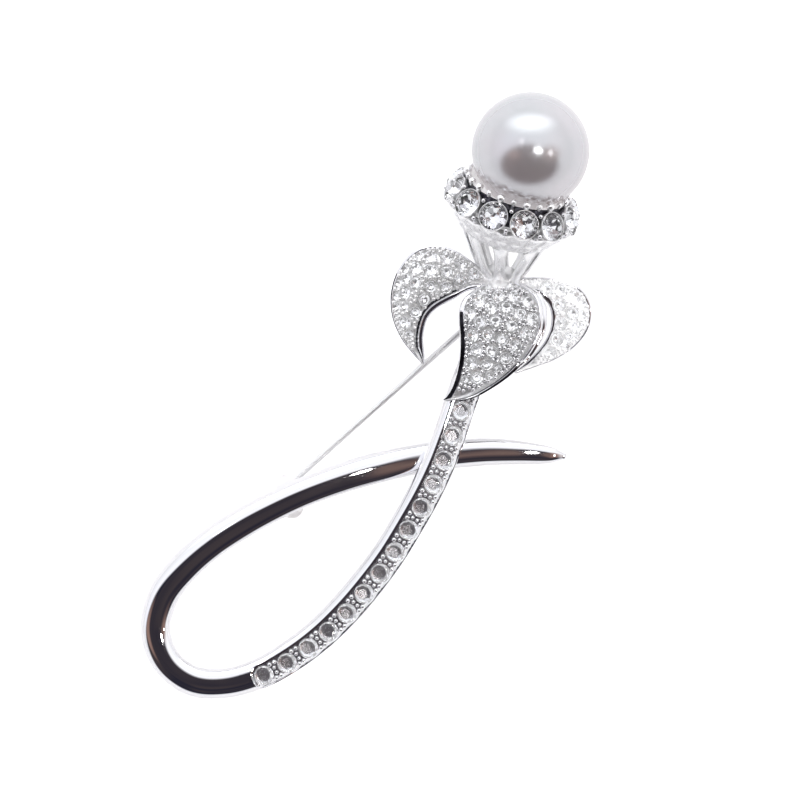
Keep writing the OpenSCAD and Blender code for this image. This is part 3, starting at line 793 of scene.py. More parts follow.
@dataclass
class Stem:
    """The polished rod: a stone channel down its front length, a loop and a tail."""

    flatness: float = 0.92
    fullness: float = 2.9
    stone_d: float = 2.0
    stone_count: int = 14
    stone_pitch: float = 2.62
    first_stone: float = 4.3
    stone_lean: float = 12.0
    lean_toward: float = 180.0
    lean_sway: float = 30.0
    channel_from: float = 3.15
    channel_to: float = 14.27
    channel_shift: float = 0.4
    channel_spare: float = 0.06
    channel_most: float = 0.66
    channel_ease: float = 0.25
    level_ease: float = 1.2
    full_half_w: float = 1.5
    floor_drop: float = 0.42
    girdle_drop: float = 0.12
    lip_in: float = 0.27
    lip_out: float = 0.16
    lip_round: float = 0.02
    wall_lean: float = 0.03
    arm_rows: Span = (18.8, 27.6)
    arm_ease: float = 1.6
    arm_roll: float = 4.0
    arm_full: Span = (2.2, 4.4)
    side_points: int = 9
    under_points: int = 20
    steps: int = 10
    end_step: float = 0.06
    end_steps: int = 20
    arc_steps: int = 20
    cap_rings: int = 6
    cap_reach: Span = (0.12, 0.4)
    cap_tip: float = 0.02
    grain_drop: float = 0.14
    arc: list[tuple[float, float]] = field(init=False)

    def __post_init__(self) -> None:
        """Measures the rod from its start, for even steps along it."""
        run, last = 0.0, self.point(0.0)
        self.arc = [(0.0, 0.0)]
        for k in range(1, self.arc_steps * (len(STEM_ROWS) - 1) + 1):
            s = k / self.arc_steps
            here = self.point(s)
            run += (here - last).length
            last = here
            self.arc.append((s, run))

    def point(self, s: float) -> Vector:
        """Returns the rod's middle at s rows."""
        return Vector(row_at(STEM_ROWS, s)[:3])

    def width(self, s: float) -> float:
        """Returns the rod's width at s rows."""
        return row_at(STEM_ROWS, s)[3]

    def place(self, s: float) -> Matrix:
        """Returns the rod's frame at s rows: x across, y along, z out of its face.

        Args:
            s: Place on the rod, in rows of its table.

        Returns:
            The frame.
        """
        last = len(STEM_ROWS) - 1
        along = (self.point(min(s + 0.02, last)) - self.point(max(s - 0.02, 0))).normalized()
        across = along.cross(Vector((0, 0, 1))).normalized()
        return placed(across, along, across.cross(along), self.point(s))

    def run_at(self, s: float) -> float:
        """Returns the distance along the rod at s rows.

        Args:
            s: Place on the rod, in rows of its table.

        Returns:
            The distance in millimetres.
        """
        k = max(0, min(len(self.arc) - 2, int(s * self.arc_steps)))
        (s0, r0), (s1, r1) = self.arc[k], self.arc[k + 1]
        return r0 + (r1 - r0) * (s - s0) / (s1 - s0)

    def row_of(self, run: float) -> float:
        """Returns the row at a distance along the rod.

        Args:
            run: Distance along the rod, in millimetres.

        Returns:
            The place, in rows.
        """
        k = next(k for k in range(1, len(self.arc)) if self.arc[k][1] >= run)
        (s0, r0), (s1, r1) = self.arc[k - 1], self.arc[k]
        return s0 + (s1 - s0) * (run - r0) / (r1 - r0)

    def stone_rows(self) -> list[float]:
        """Returns the rows at which the stones sit."""
        start = self.run_at(self.first_stone)
        return [self.row_of(start + k * self.stone_pitch) for k in range(self.stone_count)]

    def seat_place(self, s: float) -> Matrix:
        """Returns the place of a stone's girdle at s rows."""
        rise = self.width(s) * self.flatness / 2 - self.girdle_drop
        return self.place(s) @ moved(-self.channel_shift, 0, rise)

    def stone_place(self, k: int, s: float) -> Matrix:
        """Returns the place of the k-th stone at s rows. It leans a little in its seat.

        Args:
            k: Number of the stone, from 0.
            s: Place on the rod, in rows of its table.

        Returns:
            The place of its girdle.
        """
        seat_place = self.seat_place(s)
        middle = seat_place.translation
        toward = math.radians(self.lean_toward + self.lean_sway * math.sin(2.3 * k + 0.7))
        lean = Matrix.Rotation(math.radians(self.stone_lean), 4, (-math.sin(toward), math.cos(toward), 0.0))
        return moved(*middle) @ lean @ moved(*-middle) @ seat_place @ turned(37 * k, "Z")

    def section(self, s: float) -> list[Vector]:
        """Returns the rod's section at s rows, with the channel in its top."""
        roll = math.radians(self.arm_roll) * self.arm_share(s)
        return [Matrix.Rotation(roll, 3, "Y") @ p for p in self.level_section(s)]

    def arm_share(self, s: float) -> float:
        """Returns how far the rod's section at s rows is that of the loop's upper arm."""
        return ease((s - self.arm_rows[0]) / self.arm_ease) * ease((self.arm_rows[1] - s) / self.arm_ease)

    def channel_inside(self, s: float) -> float:
        """Returns how far s rows lies inside the channel's ends, along the rod."""
        run = self.run_at(s)
        return min(run - self.run_at(self.channel_from), self.run_at(self.channel_to) - run)

    def level_section(self, s: float) -> list[Vector]:
        """Returns the rod's section at s rows before it is rolled toward the loop's inside.

        Args:
            s: Place on the rod, in rows of its table.

        Returns:
            Points round the section, from the loop's inner side over the rod's face.
        """
        a = self.width(s) / 2
        b = a * self.flatness
        share = self.arm_share(s)
        half_full = min(self.stone_d / 2 + self.channel_spare, a * self.channel_most)
        shift = -self.channel_shift * min(1.0, a / self.full_half_w)
        inside = self.channel_inside(s)
        near = max(0.0, min(1.0, inside / half_full))
        half = half_full * math.sqrt(1 - (1 - near) ** 2)
        open_share = ease(inside / self.channel_ease)
        level = ease((inside + self.level_ease) / self.level_ease)

        def top(x: float) -> float:
            """Returns the height of the rod's face at x across."""
            full = self.fullness + share * (self.arm_full[x > 0] - self.fullness)
            return b * max(0.0, 1 - abs(x / a) ** full) ** (1 / full)

        inner, outer = shift + half, shift - half
        wall_in, wall_out = inner + self.lip_in * open_share, outer - self.lip_out * open_share
        level_in, level_out = top(wall_in), top(wall_out)
        rounding = self.lip_round * open_share
        ground = (1 - open_share) * b + open_share * (b - self.floor_drop)
        cut = [
            (wall_in, level_in), ((wall_in + inner) / 2, level_in), (inner, level_in - rounding),
            (inner - self.wall_lean, ground), (inner - 0.3 * half, ground), (shift, ground),
            (outer + 0.3 * half, ground), (outer + self.wall_lean, min(ground, level_out)),
            (outer, level_out - rounding), ((wall_out + outer) / 2, level_out), (wall_out, level_out),
        ]
        n = self.side_points
        total = 2 * n + len(cut) - 1
        start, end = (math.acos(max(-1.0, min(1.0, wall / a))) for wall in (wall_in, wall_out))
        turns = [start * k / n for k in range(n)]
        turns += [end + (math.pi - end) * (k + 1) / n for k in range(n)]
        round_x = [a * math.cos(q) for q in turns]
        across = [*round_x[:n], *(x for x, _ in cut), *round_x[n:]]
        points: list[Vector] = []
        for k, x in enumerate(across):
            x = (1 - level) * a * math.cos(math.pi * (k / total)) + level * x
            z = top(x)
            if n <= k < n + len(cut):
                z = (1 - open_share) * z + open_share * cut[k - n][1]
            points.append(Vector((x, 0, z)))
        for k in range(1, self.under_points):
            q = math.pi * (1 + k / self.under_points)
            points.append(Vector((a * math.cos(q), 0, b * math.sin(q))))
        return points

    def stations(self) -> list[float]:
        """Returns the rows at which the rod is drawn, close together at the channel's ends.

        Returns:
            The rows in order.
        """
        last = len(STEM_ROWS) - 1
        rows = {k / self.steps for k in range(last * self.steps + 1)}
        for end in (self.channel_from, self.channel_to):
            middle = self.run_at(end)
            rows |= {self.row_of(middle + k * self.end_step) for k in range(-self.end_steps, self.end_steps)}
        return sorted(rows)

    def rod(self) -> BMesh:
        """Draws the rod, with rounded ends. The channel's floor takes material 1.

        Returns:
            The rod's mesh.
        """
        rings: list[list[Vector]] = []
        stations = self.stations()
        for s in stations:
            place = self.place(s)
            rings.append([place @ p for p in self.section(s)])
        for s, way, share in zip((0.0, float(len(STEM_ROWS) - 1)), (-1, 1), self.cap_reach):
            place, section = self.place(s), self.section(s)
            reach = way * share * self.width(s)
            for k in range(1, self.cap_rings + 1):
                q = math.pi / 2 * k / self.cap_rings
                size = max(math.cos(q), self.cap_tip)
                ring = [place @ Vector((p.x * size, reach * math.sin(q), p.z * size)) for p in section]
                rings.insert(0 if way < 0 else len(rings), ring)
        bm = bmesh.new()
        loops = draw_out(bm, rings)
        first = self.side_points + 2
        floor = {
            vert for s, loop in zip(stations, loops[self.cap_rings:])
            if self.channel_from < s < self.channel_to for vert in loop[first:first + 7]
        }
        for face in bm.faces:
            face.material_index = 1 if all(vert in floor for vert in face.verts) else 0
        tidy_skin(bm)
        return bm

    def grains(self) -> BMesh:
        """Makes the grains that hold the stones, in the spaces between neighbours.

        Returns:
            A mesh with all the grains.
        """
        rows = self.stone_rows()
        gaps = [rows[0] - 0.42, *((p + q) / 2 for p, q in zip(rows, rows[1:]))]
        spots = [(side * 0.76, end * 0.27, 1.0) for side in (-1, 1) for end in (-1, 1)]
        spots += [(0.27, 0.0, 0.8), (-0.27, 0.0, 0.8)]
        places = [
            self.seat_place(s) @ moved(x, y, -self.grain_drop) @ Matrix.Scale(size, 4)
            for s in gaps for x, y, size in spots
        ]
        outline = (
            (0, -0.5), (0.22, -0.5), (0.25, -0.03), (0.23, 0.09), (0.17, 0.18), (0.09, 0.23), (0, 0.25),
        )
        return copies(turned_shape(outline, 10), places)

    def build(self, finishes: Finishes) -> None:
        """Makes the rod, its grains and its stones.

        Args:
            finishes: Finishes of the brooch.
        """
        rod = Card("stem_rod", Slot.METAL, stands_for=("stem",), crease=42)
        seat(self.rod(), rod, [finishes.rhodium, finishes.setting])
        seat(self.grains(), Card("stem_grains", Slot.METAL), [finishes.setting])
        size = Matrix.Scale(self.stone_d / 2, 4)
        for k, s in enumerate(self.stone_rows()):
            node = f"stem_stone_{k + 1:02d}"
            stone = STEM_CUTS[k % len(STEM_CUTS)].stone()
            bmesh.ops.transform(stone, matrix=self.stone_place(k, s) @ size, verts=stone.verts)
            card = Card(f"cut_{node}", Slot.STONE, stands_for=(node,), crease=0)
            # painted light: the stem stones' foil glows
            seat(stone, card, [finishes.crystal, finishes.stem_foil])


# Leaves

# Leaf edges from the neck to the tip: xa, ya, za, xb, yb, zb, and the middle's rise.
LEFT_ROWS: list[Row] = [
    (11.9, 12.7, 4.8, 12.2, 11.0, 5.3, 0.3), (10.4, 14.0, 4.7, 10.6, 10.75, 5.3, 0.9),
    (8.7, 15.0, 4.5, 9.1, 10.1, 5.2, 1.3), (6.8, 15.4, 4.3, 7.9, 9.5, 5.1, 1.5),
    (4.9, 14.8, 4.1, 6.95, 8.9, 5.0, 1.5), (3.3, 13.0, 3.9, 6.25, 8.15, 4.9, 1.4),
    (2.5, 10.6, 3.8, 5.85, 7.2, 4.8, 1.2), (2.6, 8.1, 3.7, 5.65, 6.0, 4.6, 0.9),
    (3.5, 5.9, 3.7, 5.7, 4.95, 4.3, 0.6), (4.7, 4.3, 3.7, 5.85, 4.0, 4.0, 0.25),
    (5.65, 3.25, 3.75, 5.9, 3.2, 3.8, 0.02),
]
FRONT_ROWS: list[Row] = [
    (11.6, 11.2, 5.6, 15.5, 11.5, 5.6, 0.6), (10.1, 10.1, 6.2, 17.2, 10.5, 6.2, 1.4),
    (9.5, 9.0, 6.6, 17.9, 9.2, 6.5, 1.7), (9.4, 7.6, 6.8, 18.0, 7.8, 6.7, 1.8),
    (9.5, 6.1, 6.9, 17.8, 6.4, 6.8, 1.7), (9.5, 4.6, 7.0, 17.1, 4.9, 6.9, 1.5),
    (9.35, 3.2, 7.0, 16.1, 3.5, 6.9, 1.2), (9.05, 1.9, 7.1, 14.7, 2.1, 6.95, 0.9),
    (8.65, 0.8, 7.2, 12.8, 0.75, 7.05, 0.5), (8.2, 0.05, 7.25, 10.7, -0.3, 7.15, 0.2),
    (7.8, -0.4, 7.3, 8.1, -0.55, 7.3, 0.02),
]
RIGHT_ROWS: list[Row] = [
    (14.4, 10.9, 4.6, 14.8, 12.0, 4.6, 0.2), (16.0, 10.8, 4.5, 16.8, 12.1, 4.5, 0.5),
    (17.4, 10.3, 4.4, 18.9, 12.0, 4.3, 0.8), (18.4, 9.4, 4.3, 20.8, 11.6, 4.1, 1.0),
    (18.8, 8.2, 4.2, 22.2, 10.6, 3.9, 1.2), (18.7, 6.9, 4.1, 22.95, 8.9, 3.7, 1.3),
    (18.2, 5.7, 4.0, 22.7, 6.9, 3.6, 1.2), (17.4, 4.6, 3.9, 21.4, 5.1, 3.5, 1.0),
    (16.5, 3.7, 3.8, 19.5, 3.8, 3.4, 0.7), (15.8, 3.0, 3.7, 17.5, 3.0, 3.4, 0.3),
    (15.0, 2.4, 3.5, 15.25, 2.25, 3.5, 0.02),
]


@dataclass(frozen=True)
class Rim:
    """A rim's section: nine points from the leaf's edge inward, each a distance and a drop. Some bands of
    its faces take a near-black painted shade.
    """

    head: tuple[tuple[float, float], ...]
    body: tuple[tuple[float, float], ...]
    # painted shade: numbers of the rim's faces that take the near-black plating
    dark: tuple[int, ...] = ()
    start: float = 0.0
    over: float = 0.12

    @property
    def width(self) -> float:
        """Distance from the edge to the floor."""
        return self.body[-1][0]

    def share(self, along: float) -> float:
        """Returns how far the section has changed from the head to the body."""
        return ease((along - self.start) / self.over)

    def points(self, along: float) -> list[tuple[float, float]]:
        """Returns the section at a share of the leaf's length."""
        t = self.share(along)
        return [(x + (u - x) * t, y + (v - y) * t) for (x, y), (u, v) in zip(self.head, self.body)]


def roll(width: float, rise: float = 0.2) -> tuple[tuple[float, float], ...]:
    """Returns the section of a half-round rim."""
    turns = [math.pi * k / 8 for k in range(9)]
    return tuple((width * (1 - math.cos(q)) / 2, rise * (1 - math.sin(q))) for q in turns)


GROOVED = (
    (0.0, 0.2), (0.03, 0.07), (0.09, 0.02), (0.12, 0.13), (0.42, 0.13), (0.46, 0.0), (0.55, 0.0),
    (0.62, 0.08), (0.66, 0.24),
)
DOUBLE = (
    (0.0, 0.3), (0.02, 0.18), (0.24, 0.16), (0.28, 0.03), (0.4, 0.0), (0.52, 0.03), (0.56, 0.16),
    (0.72, 0.2), (0.75, 0.24),
)
INNER = (
    (-0.2, 0.36), (-0.12, 0.2), (0.06, 0.06), (0.3, 0.0), (0.46, 0.06), (0.5, 0.16), (0.74, 0.18),
    (0.76, 0.2), (0.78, 0.24),
)
OUTER = (
    (0.0, 0.2), (0.02, 0.12), (0.05, 0.1), (0.19, 0.1), (0.22, 0.03), (0.3, 0.0), (0.38, 0.03),
    (0.43, 0.1), (0.46, 0.24),
)
STEPPED = (
    (-0.4, 0.7), (-0.34, 0.5), (-0.18, 0.42), (-0.02, 0.44), (0.04, 0.24), (0.16, 0.06), (0.32, 0.02),
    (0.46, 0.08), (0.55, 0.24),
)


@dataclass
class Leaf:
    """A domed plate with a polished rim round a floor of stones and grains."""

    side: str
    rows: list[Row]
    floor_finish: bpy.types.Material
    grain_finish: bpy.types.Material
    foil: bpy.types.Material
    rim_a: Rim
    rim_b: Rim
    rim_w: float = 0.55
    rim_clear: float = 0.05
    rim_most: float = 0.36
    rim_upright: float = 0.9
    rim_points: int = 9
    floor_points: int = 9
    recess: float = 0.72
    edge: float = 0.95
    edge_foot: float = 0.8
    thick: float = 1.35
    narrow: float = 1.6
    slimmest: float = 0.5
    steps: int = 72
    crowding: float = 1.15
    stone_d: float = 1.4
    stone_gap: float = 0.12
    stone_drop: float = 0.05
    stone_grid: tuple[int, int] = (80, 32)
    steepest: float = 0.8
    small_d: float = 0.95
    small_drop: float = 0.07
    small_gap: float = 0.05
    fine_grid: tuple[int, int] = (160, 64)
    edge_steps: int = 120
    grain_r: float = 0.23
    grain_drop: float = 0.09
    stone_places: list[Matrix] = field(default_factory=list)

    def row(self, along: float) -> list[float]:
        """Returns the table's values at a share of the leaf's length."""
        return row_at(self.rows, along * (len(self.rows) - 1))

    def point(self, along: float, across: float, drop: float) -> Vector:
        """Returns a point of the leaf, drop under its domed face.

        Args:
            along: Share of the leaf's length.
            across: Share of its width.
            drop: Depth under its domed face.

        Returns:
            The point.
        """
        r = self.row(along)
        a, b = Vector(r[0:3]), Vector(r[3:6])
        return a + (b - a) * across + Vector((0, 0, r[6] * 4 * across * (1 - across) - drop))

    def width(self, along: float) -> float:
        """Returns the leaf's width at a share of its length."""
        r = self.row(along)
        return (Vector(r[3:6]) - Vector(r[0:3])).length

    def section(self, along: float) -> list[tuple[float, float]]:
        """Returns the leaf's section at a share of its length, as shares across and drops.

        Args:
            along: Share of the leaf's length.

        Returns:
            The section's points, from the first edge over the face.
        """
        w, dome = self.width(along), self.row(along)[6]
        share = min(1.0, w / self.narrow)
        slim = self.slimmest + (1 - self.slimmest) * share

        def upright(rim: Rim, far: bool) -> list[tuple[float, float]]:
            """Returns a rim's section, stood up from the slope of the dome.

            Args:
                rim: The rim.
                far: Whether it runs along the leaf's second edge.

            Returns:
                Its points, from the edge inward.
            """
            fit = min(1.0, self.rim_most * w / rim.width) / w
            middle = rim.width * fit / 2
            points = []
            for x, drop in rim.points(along):
                across = x * fit
                lean = 4 * dome * (middle * (1 - middle) - across * (1 - across))
                points.append((1 - across if far else across, drop * slim - lean * self.rim_upright))
            return points

        left, right = upright(self.rim_a, False), upright(self.rim_b, True)[::-1]
        inner, outer = left[-1][0], right[0][0]
        last = self.floor_points - 1
        floor = [inner + (outer - inner) * k / last for k in range(self.floor_points)]
        edge, foot = self.edge * slim, self.edge * slim * self.edge_foot
        under = (0.9, 0.75, 0.6, 0.45, 0.3, 0.15)
        belly = self.thick - self.edge
        return [
            (left[0][0], edge), (left[0][0], foot), *left,
            *((x, self.recess * share * slim) for x in floor),
            *right, (right[-1][0], foot), (right[-1][0], edge),
            *((x, slim * (self.edge + belly * math.sin(math.pi * x) ** 0.5)) for x in under),
        ]

    def plate(self) -> BMesh:
        """Draws the leaf's plate from the neck to the tip. Its floor takes material 1, and rim bands with a
        near-black painted shade take 2.

        Returns:
            The plate's mesh.
        """
        stations = [1 - (1 - k / self.steps) ** self.crowding for k in range(self.steps + 1)]
        rings = [[self.point(along, x, drop) for x, drop in self.section(along)] for along in stations]
        bm = bmesh.new()
        loops = draw_out(bm, rings)
        spots = {vert: (i, j) for i, loop in enumerate(loops) for j, vert in enumerate(loop)}
        first = 2
        near = first + self.rim_points - 1
        far = near + self.floor_points + 1
        for face in bm.faces:
            here = [spots[vert] for vert in face.verts]
            i, j = min(p for p, _ in here), min(q for _, q in here)
            if len(here) > 4 or max(q for _, q in here) > j + 1:
                continue
            if near <= j <= far - 1:
                face.material_index = 1
            # painted shade: rim bands that take the near-black plating
            elif self.rim_a.share(stations[i]) > 0.5 and j - first in self.rim_a.dark:
                face.material_index = 2
            elif self.rim_b.share(stations[i]) > 0.5 and far + self.rim_points - 2 - j in self.rim_b.dark:
                face.material_index = 2
        tidy_skin(bm)
        return bm

    def square_place(self, along: float, across: float, drop: float) -> Matrix:
        """Returns the place on the leaf that is square to its domed face.

        Args:
            along: Share of the leaf's length.
            across: Share of its width.
            drop: Depth under its domed face.

        Returns:
            The place.
        """
        step = 0.01
        p = self.point(along, across, drop)
        u = (self.point(along, across + step, drop) - p).normalized()
        t = self.point(along + step, across, drop) - p
        v = t.cross(u).normalized()
        return placed(u, v.cross(u), v, p)

    def lay_stones(self) -> None:
        """Lays the stones row by row, each clear of the rim and of those already laid."""
        rows, columns = self.stone_grid
        drop = self.stone_drop
        edges = [self.point(i / rows, side, drop) for i in range(rows + 1) for side in (0, 1)]
        reach = self.rim_w + self.stone_d / 2 + self.rim_clear
        pitch = self.stone_d + self.stone_gap
        for i in range(1, rows):
            for j in range(1, columns):
                place = self.square_place(i / rows, j / columns, drop)
                here = place.translation
                if place[2][2] <= self.steepest or min((e - here).length for e in edges) <= reach:
                    continue
                if all((m.translation - here).length >= pitch for m in self.stone_places):
                    self.stone_places.append(place)

    def fill(
        self, radius: float, drop: float, pitch: float, taken: Sequence[tuple[Vector, float]]
    ) -> list[Matrix]:
        """Fills the free floor with round things of one size.

        Args:
            radius: Their radius.
            drop: Their depth under the leaf's domed face.
            pitch: The least distance between two of them.
            taken: Middles and clear distances of what already lies there.

        Returns:
            A place for each.
        """
        rows, columns = self.fine_grid
        rims = ((0, self.rim_a.width), (1, self.rim_b.width))
        edges = [
            (self.point(i / self.edge_steps, side, drop), rim + radius)
            for i in range(self.edge_steps + 1) for side, rim in rims
        ]
        laid: list[Matrix] = []
        for i in range(4, rows - 4):
            for j in range(2, columns - 1):
                place = self.square_place(i / rows, j / columns, drop)
                here = place.translation
                if any((c - here).length < clear for c, clear in (*taken, *edges)):
                    continue
                if all((m.translation - here).length >= pitch for m in laid):
                    laid.append(place)
        return laid

    def stones(self, small: Sequence[Matrix]) -> BMesh:
        """Cuts the leaf's stones and sets them, each leaning a little its own way.

        Args:
            small: Places of the small stones along the margins.

        Returns:
            A mesh with all the stones.
        """
        places = [(m, self.stone_d / 2) for m in self.stone_places] + [(m, self.small_d / 2) for m in small]
        leans = [
            m @ turned(53 * k, "Z") @ turned(6 + 6 * math.sin(7 * k), "X") @ turned(31 * k, "Z")
            @ Matrix.Scale(size, 4)
            for k, (m, size) in enumerate(places)
        ]
        return copies(SMALL_CUT.stone(), leans)

    def grains(self, small: Sequence[Matrix]) -> BMesh:
        """Lays the grains of metal in the spaces between the stones.

        Args:
            small: Places of the small stones along the margins.

        Returns:
            A mesh with all the grains.
        """
        r = self.grain_r
        taken = [(m.translation, self.stone_d / 2 + r * 0.55) for m in self.stone_places]
        taken += [(m.translation, self.small_d / 2 + r * 0.55) for m in small]
        outline = (
            (0, -0.7), (r * 0.9, -0.7), (r, -0.1), (r * 0.87, r * 0.4), (r * 0.5, r * 0.75), (0, r * 0.88),
        )
        return copies(turned_shape(outline, 9), self.fill(r * 0.6, self.grain_drop, r * 1.9, taken))

    def build(self, finishes: Finishes) -> None:
        """Makes the plate, its stones and its grains.

        Args:
            finishes: Finishes of the brooch.
        """
        self.lay_stones()
        plate = Card(f"{self.side}_leaf_plate", Slot.METAL, crease=50)
        # the third finish paints shade on bands of the rims
        seat(self.plate(), plate, [finishes.rhodium, self.floor_finish, finishes.recess])
        taken = [(m.translation, (self.stone_d + self.small_d) / 2 + 0.03) for m in self.stone_places]
        small = self.fill(self.small_d / 2, self.small_drop, self.small_d + self.small_gap, taken)
        card = Card(f"{self.side}_leaf_pave", Slot.STONE, stands_for=(f"{self.side}_leaf_stones",), crease=0)
        seat(self.stones(small), card, [finishes.crystal, self.foil])
        seat(self.grains(small), Card(f"{self.side}_leaf_grains", Slot.METAL), [self.grain_finish])


# Flower


@dataclass(frozen=True)
class FlowerFrame:
    """Places of the flower: its neck, its lean, and the crown's shift and cant."""

    neck: tuple[float, float, float] = (13.6, 11.5, 3.6)
    lean: float = 13.0
    lift: float = 22.0
    shift: float = 0.6
    cant: float = 3.0
    pearl_rise: float = 14.8
    pearl_r: float = 6.0
    seam: float = 0.1

    @property
    def seat_rise(self) -> float:
        """Height of the pearl's seat above the neck."""
        return self.pearl_rise - self.pearl_r - self.seam

    @property
    def flower(self) -> Matrix:
        """Frame of the flower: the neck is the origin, and z runs up the flower."""
        return moved(*self.neck) @ turned(-self.lean, "Z") @ turned(self.lift - 90, "X")

    @property
    def crown(self) -> Matrix:
        """Frame of the crown, shifted to the left and turned about the pearl's foot."""
        rise = self.seat_rise
        return self.flower @ moved(-self.shift, 0, rise) @ turned(self.cant, "Y") @ moved(0, 0, -rise)


@dataclass
class Neck:
    """The cast neck that the stem, the leaves and the crown meet in."""

    place: FlowerFrame
    profile: Outline = ((0, -1.6), (1.5, -1.6), (2.0, -0.6), (2.15, 0.1), (2.0, 0.25), (0, 0.25))
    roots: tuple[tuple[Row, ...], ...] = (
        ((13.5, 11.5, 4.7, 1.1), (12.7, 11.7, 4.8, 0.9), (12.0, 11.9, 4.7, 0.75), (11.0, 12.2, 4.7, 0.6)),
        ((13.6, 11.1, 4.6, 1.4), (13.5, 11.0, 5.6, 1.1), (13.4, 10.9, 6.1, 0.8), (13.4, 10.2, 6.2, 0.6)),
        ((13.7, 11.5, 4.6, 1.1), (14.4, 11.5, 4.4, 0.85), (15.1, 11.5, 4.2, 0.7), (16.0, 11.5, 4.1, 0.55)),
    )
    ball_steps: int = 4
    fuse_size: float = 0.09
    flow_rounds: int = 14

    def build(self, finishes: Finishes) -> None:
        """Makes the neck as one blended casting.

        Args:
            finishes: Finishes of the brooch.
        """
        bm = bmesh.new()
        for balls in self.roots:
            for p, q in zip(balls, balls[1:]):
                for k in range(self.ball_steps + 1):
                    t = k / self.ball_steps
                    x, y, z, r = (a + (b - a) * t for a, b in zip(p, q))
                    bmesh.ops.create_icosphere(bm, subdivisions=3, radius=r, matrix=moved(x, y, z))
        join(bm, turned_shape(self.profile, 48, self.place.flower))
        piece = seat(bm, Card("neck_casting", Slot.METAL, stands_for=("calyx",), crease=60), [finishes.pale])
        fuse = piece.modifiers.new("fuse", "REMESH")
        fuse.mode = "VOXEL"
        fuse.voxel_size = self.fuse_size * MM
        fuse.use_smooth_shade = True
        flow = piece.modifiers.new("flow", "SMOOTH")
        flow.factor = 0.5
        flow.iterations = self.flow_rounds


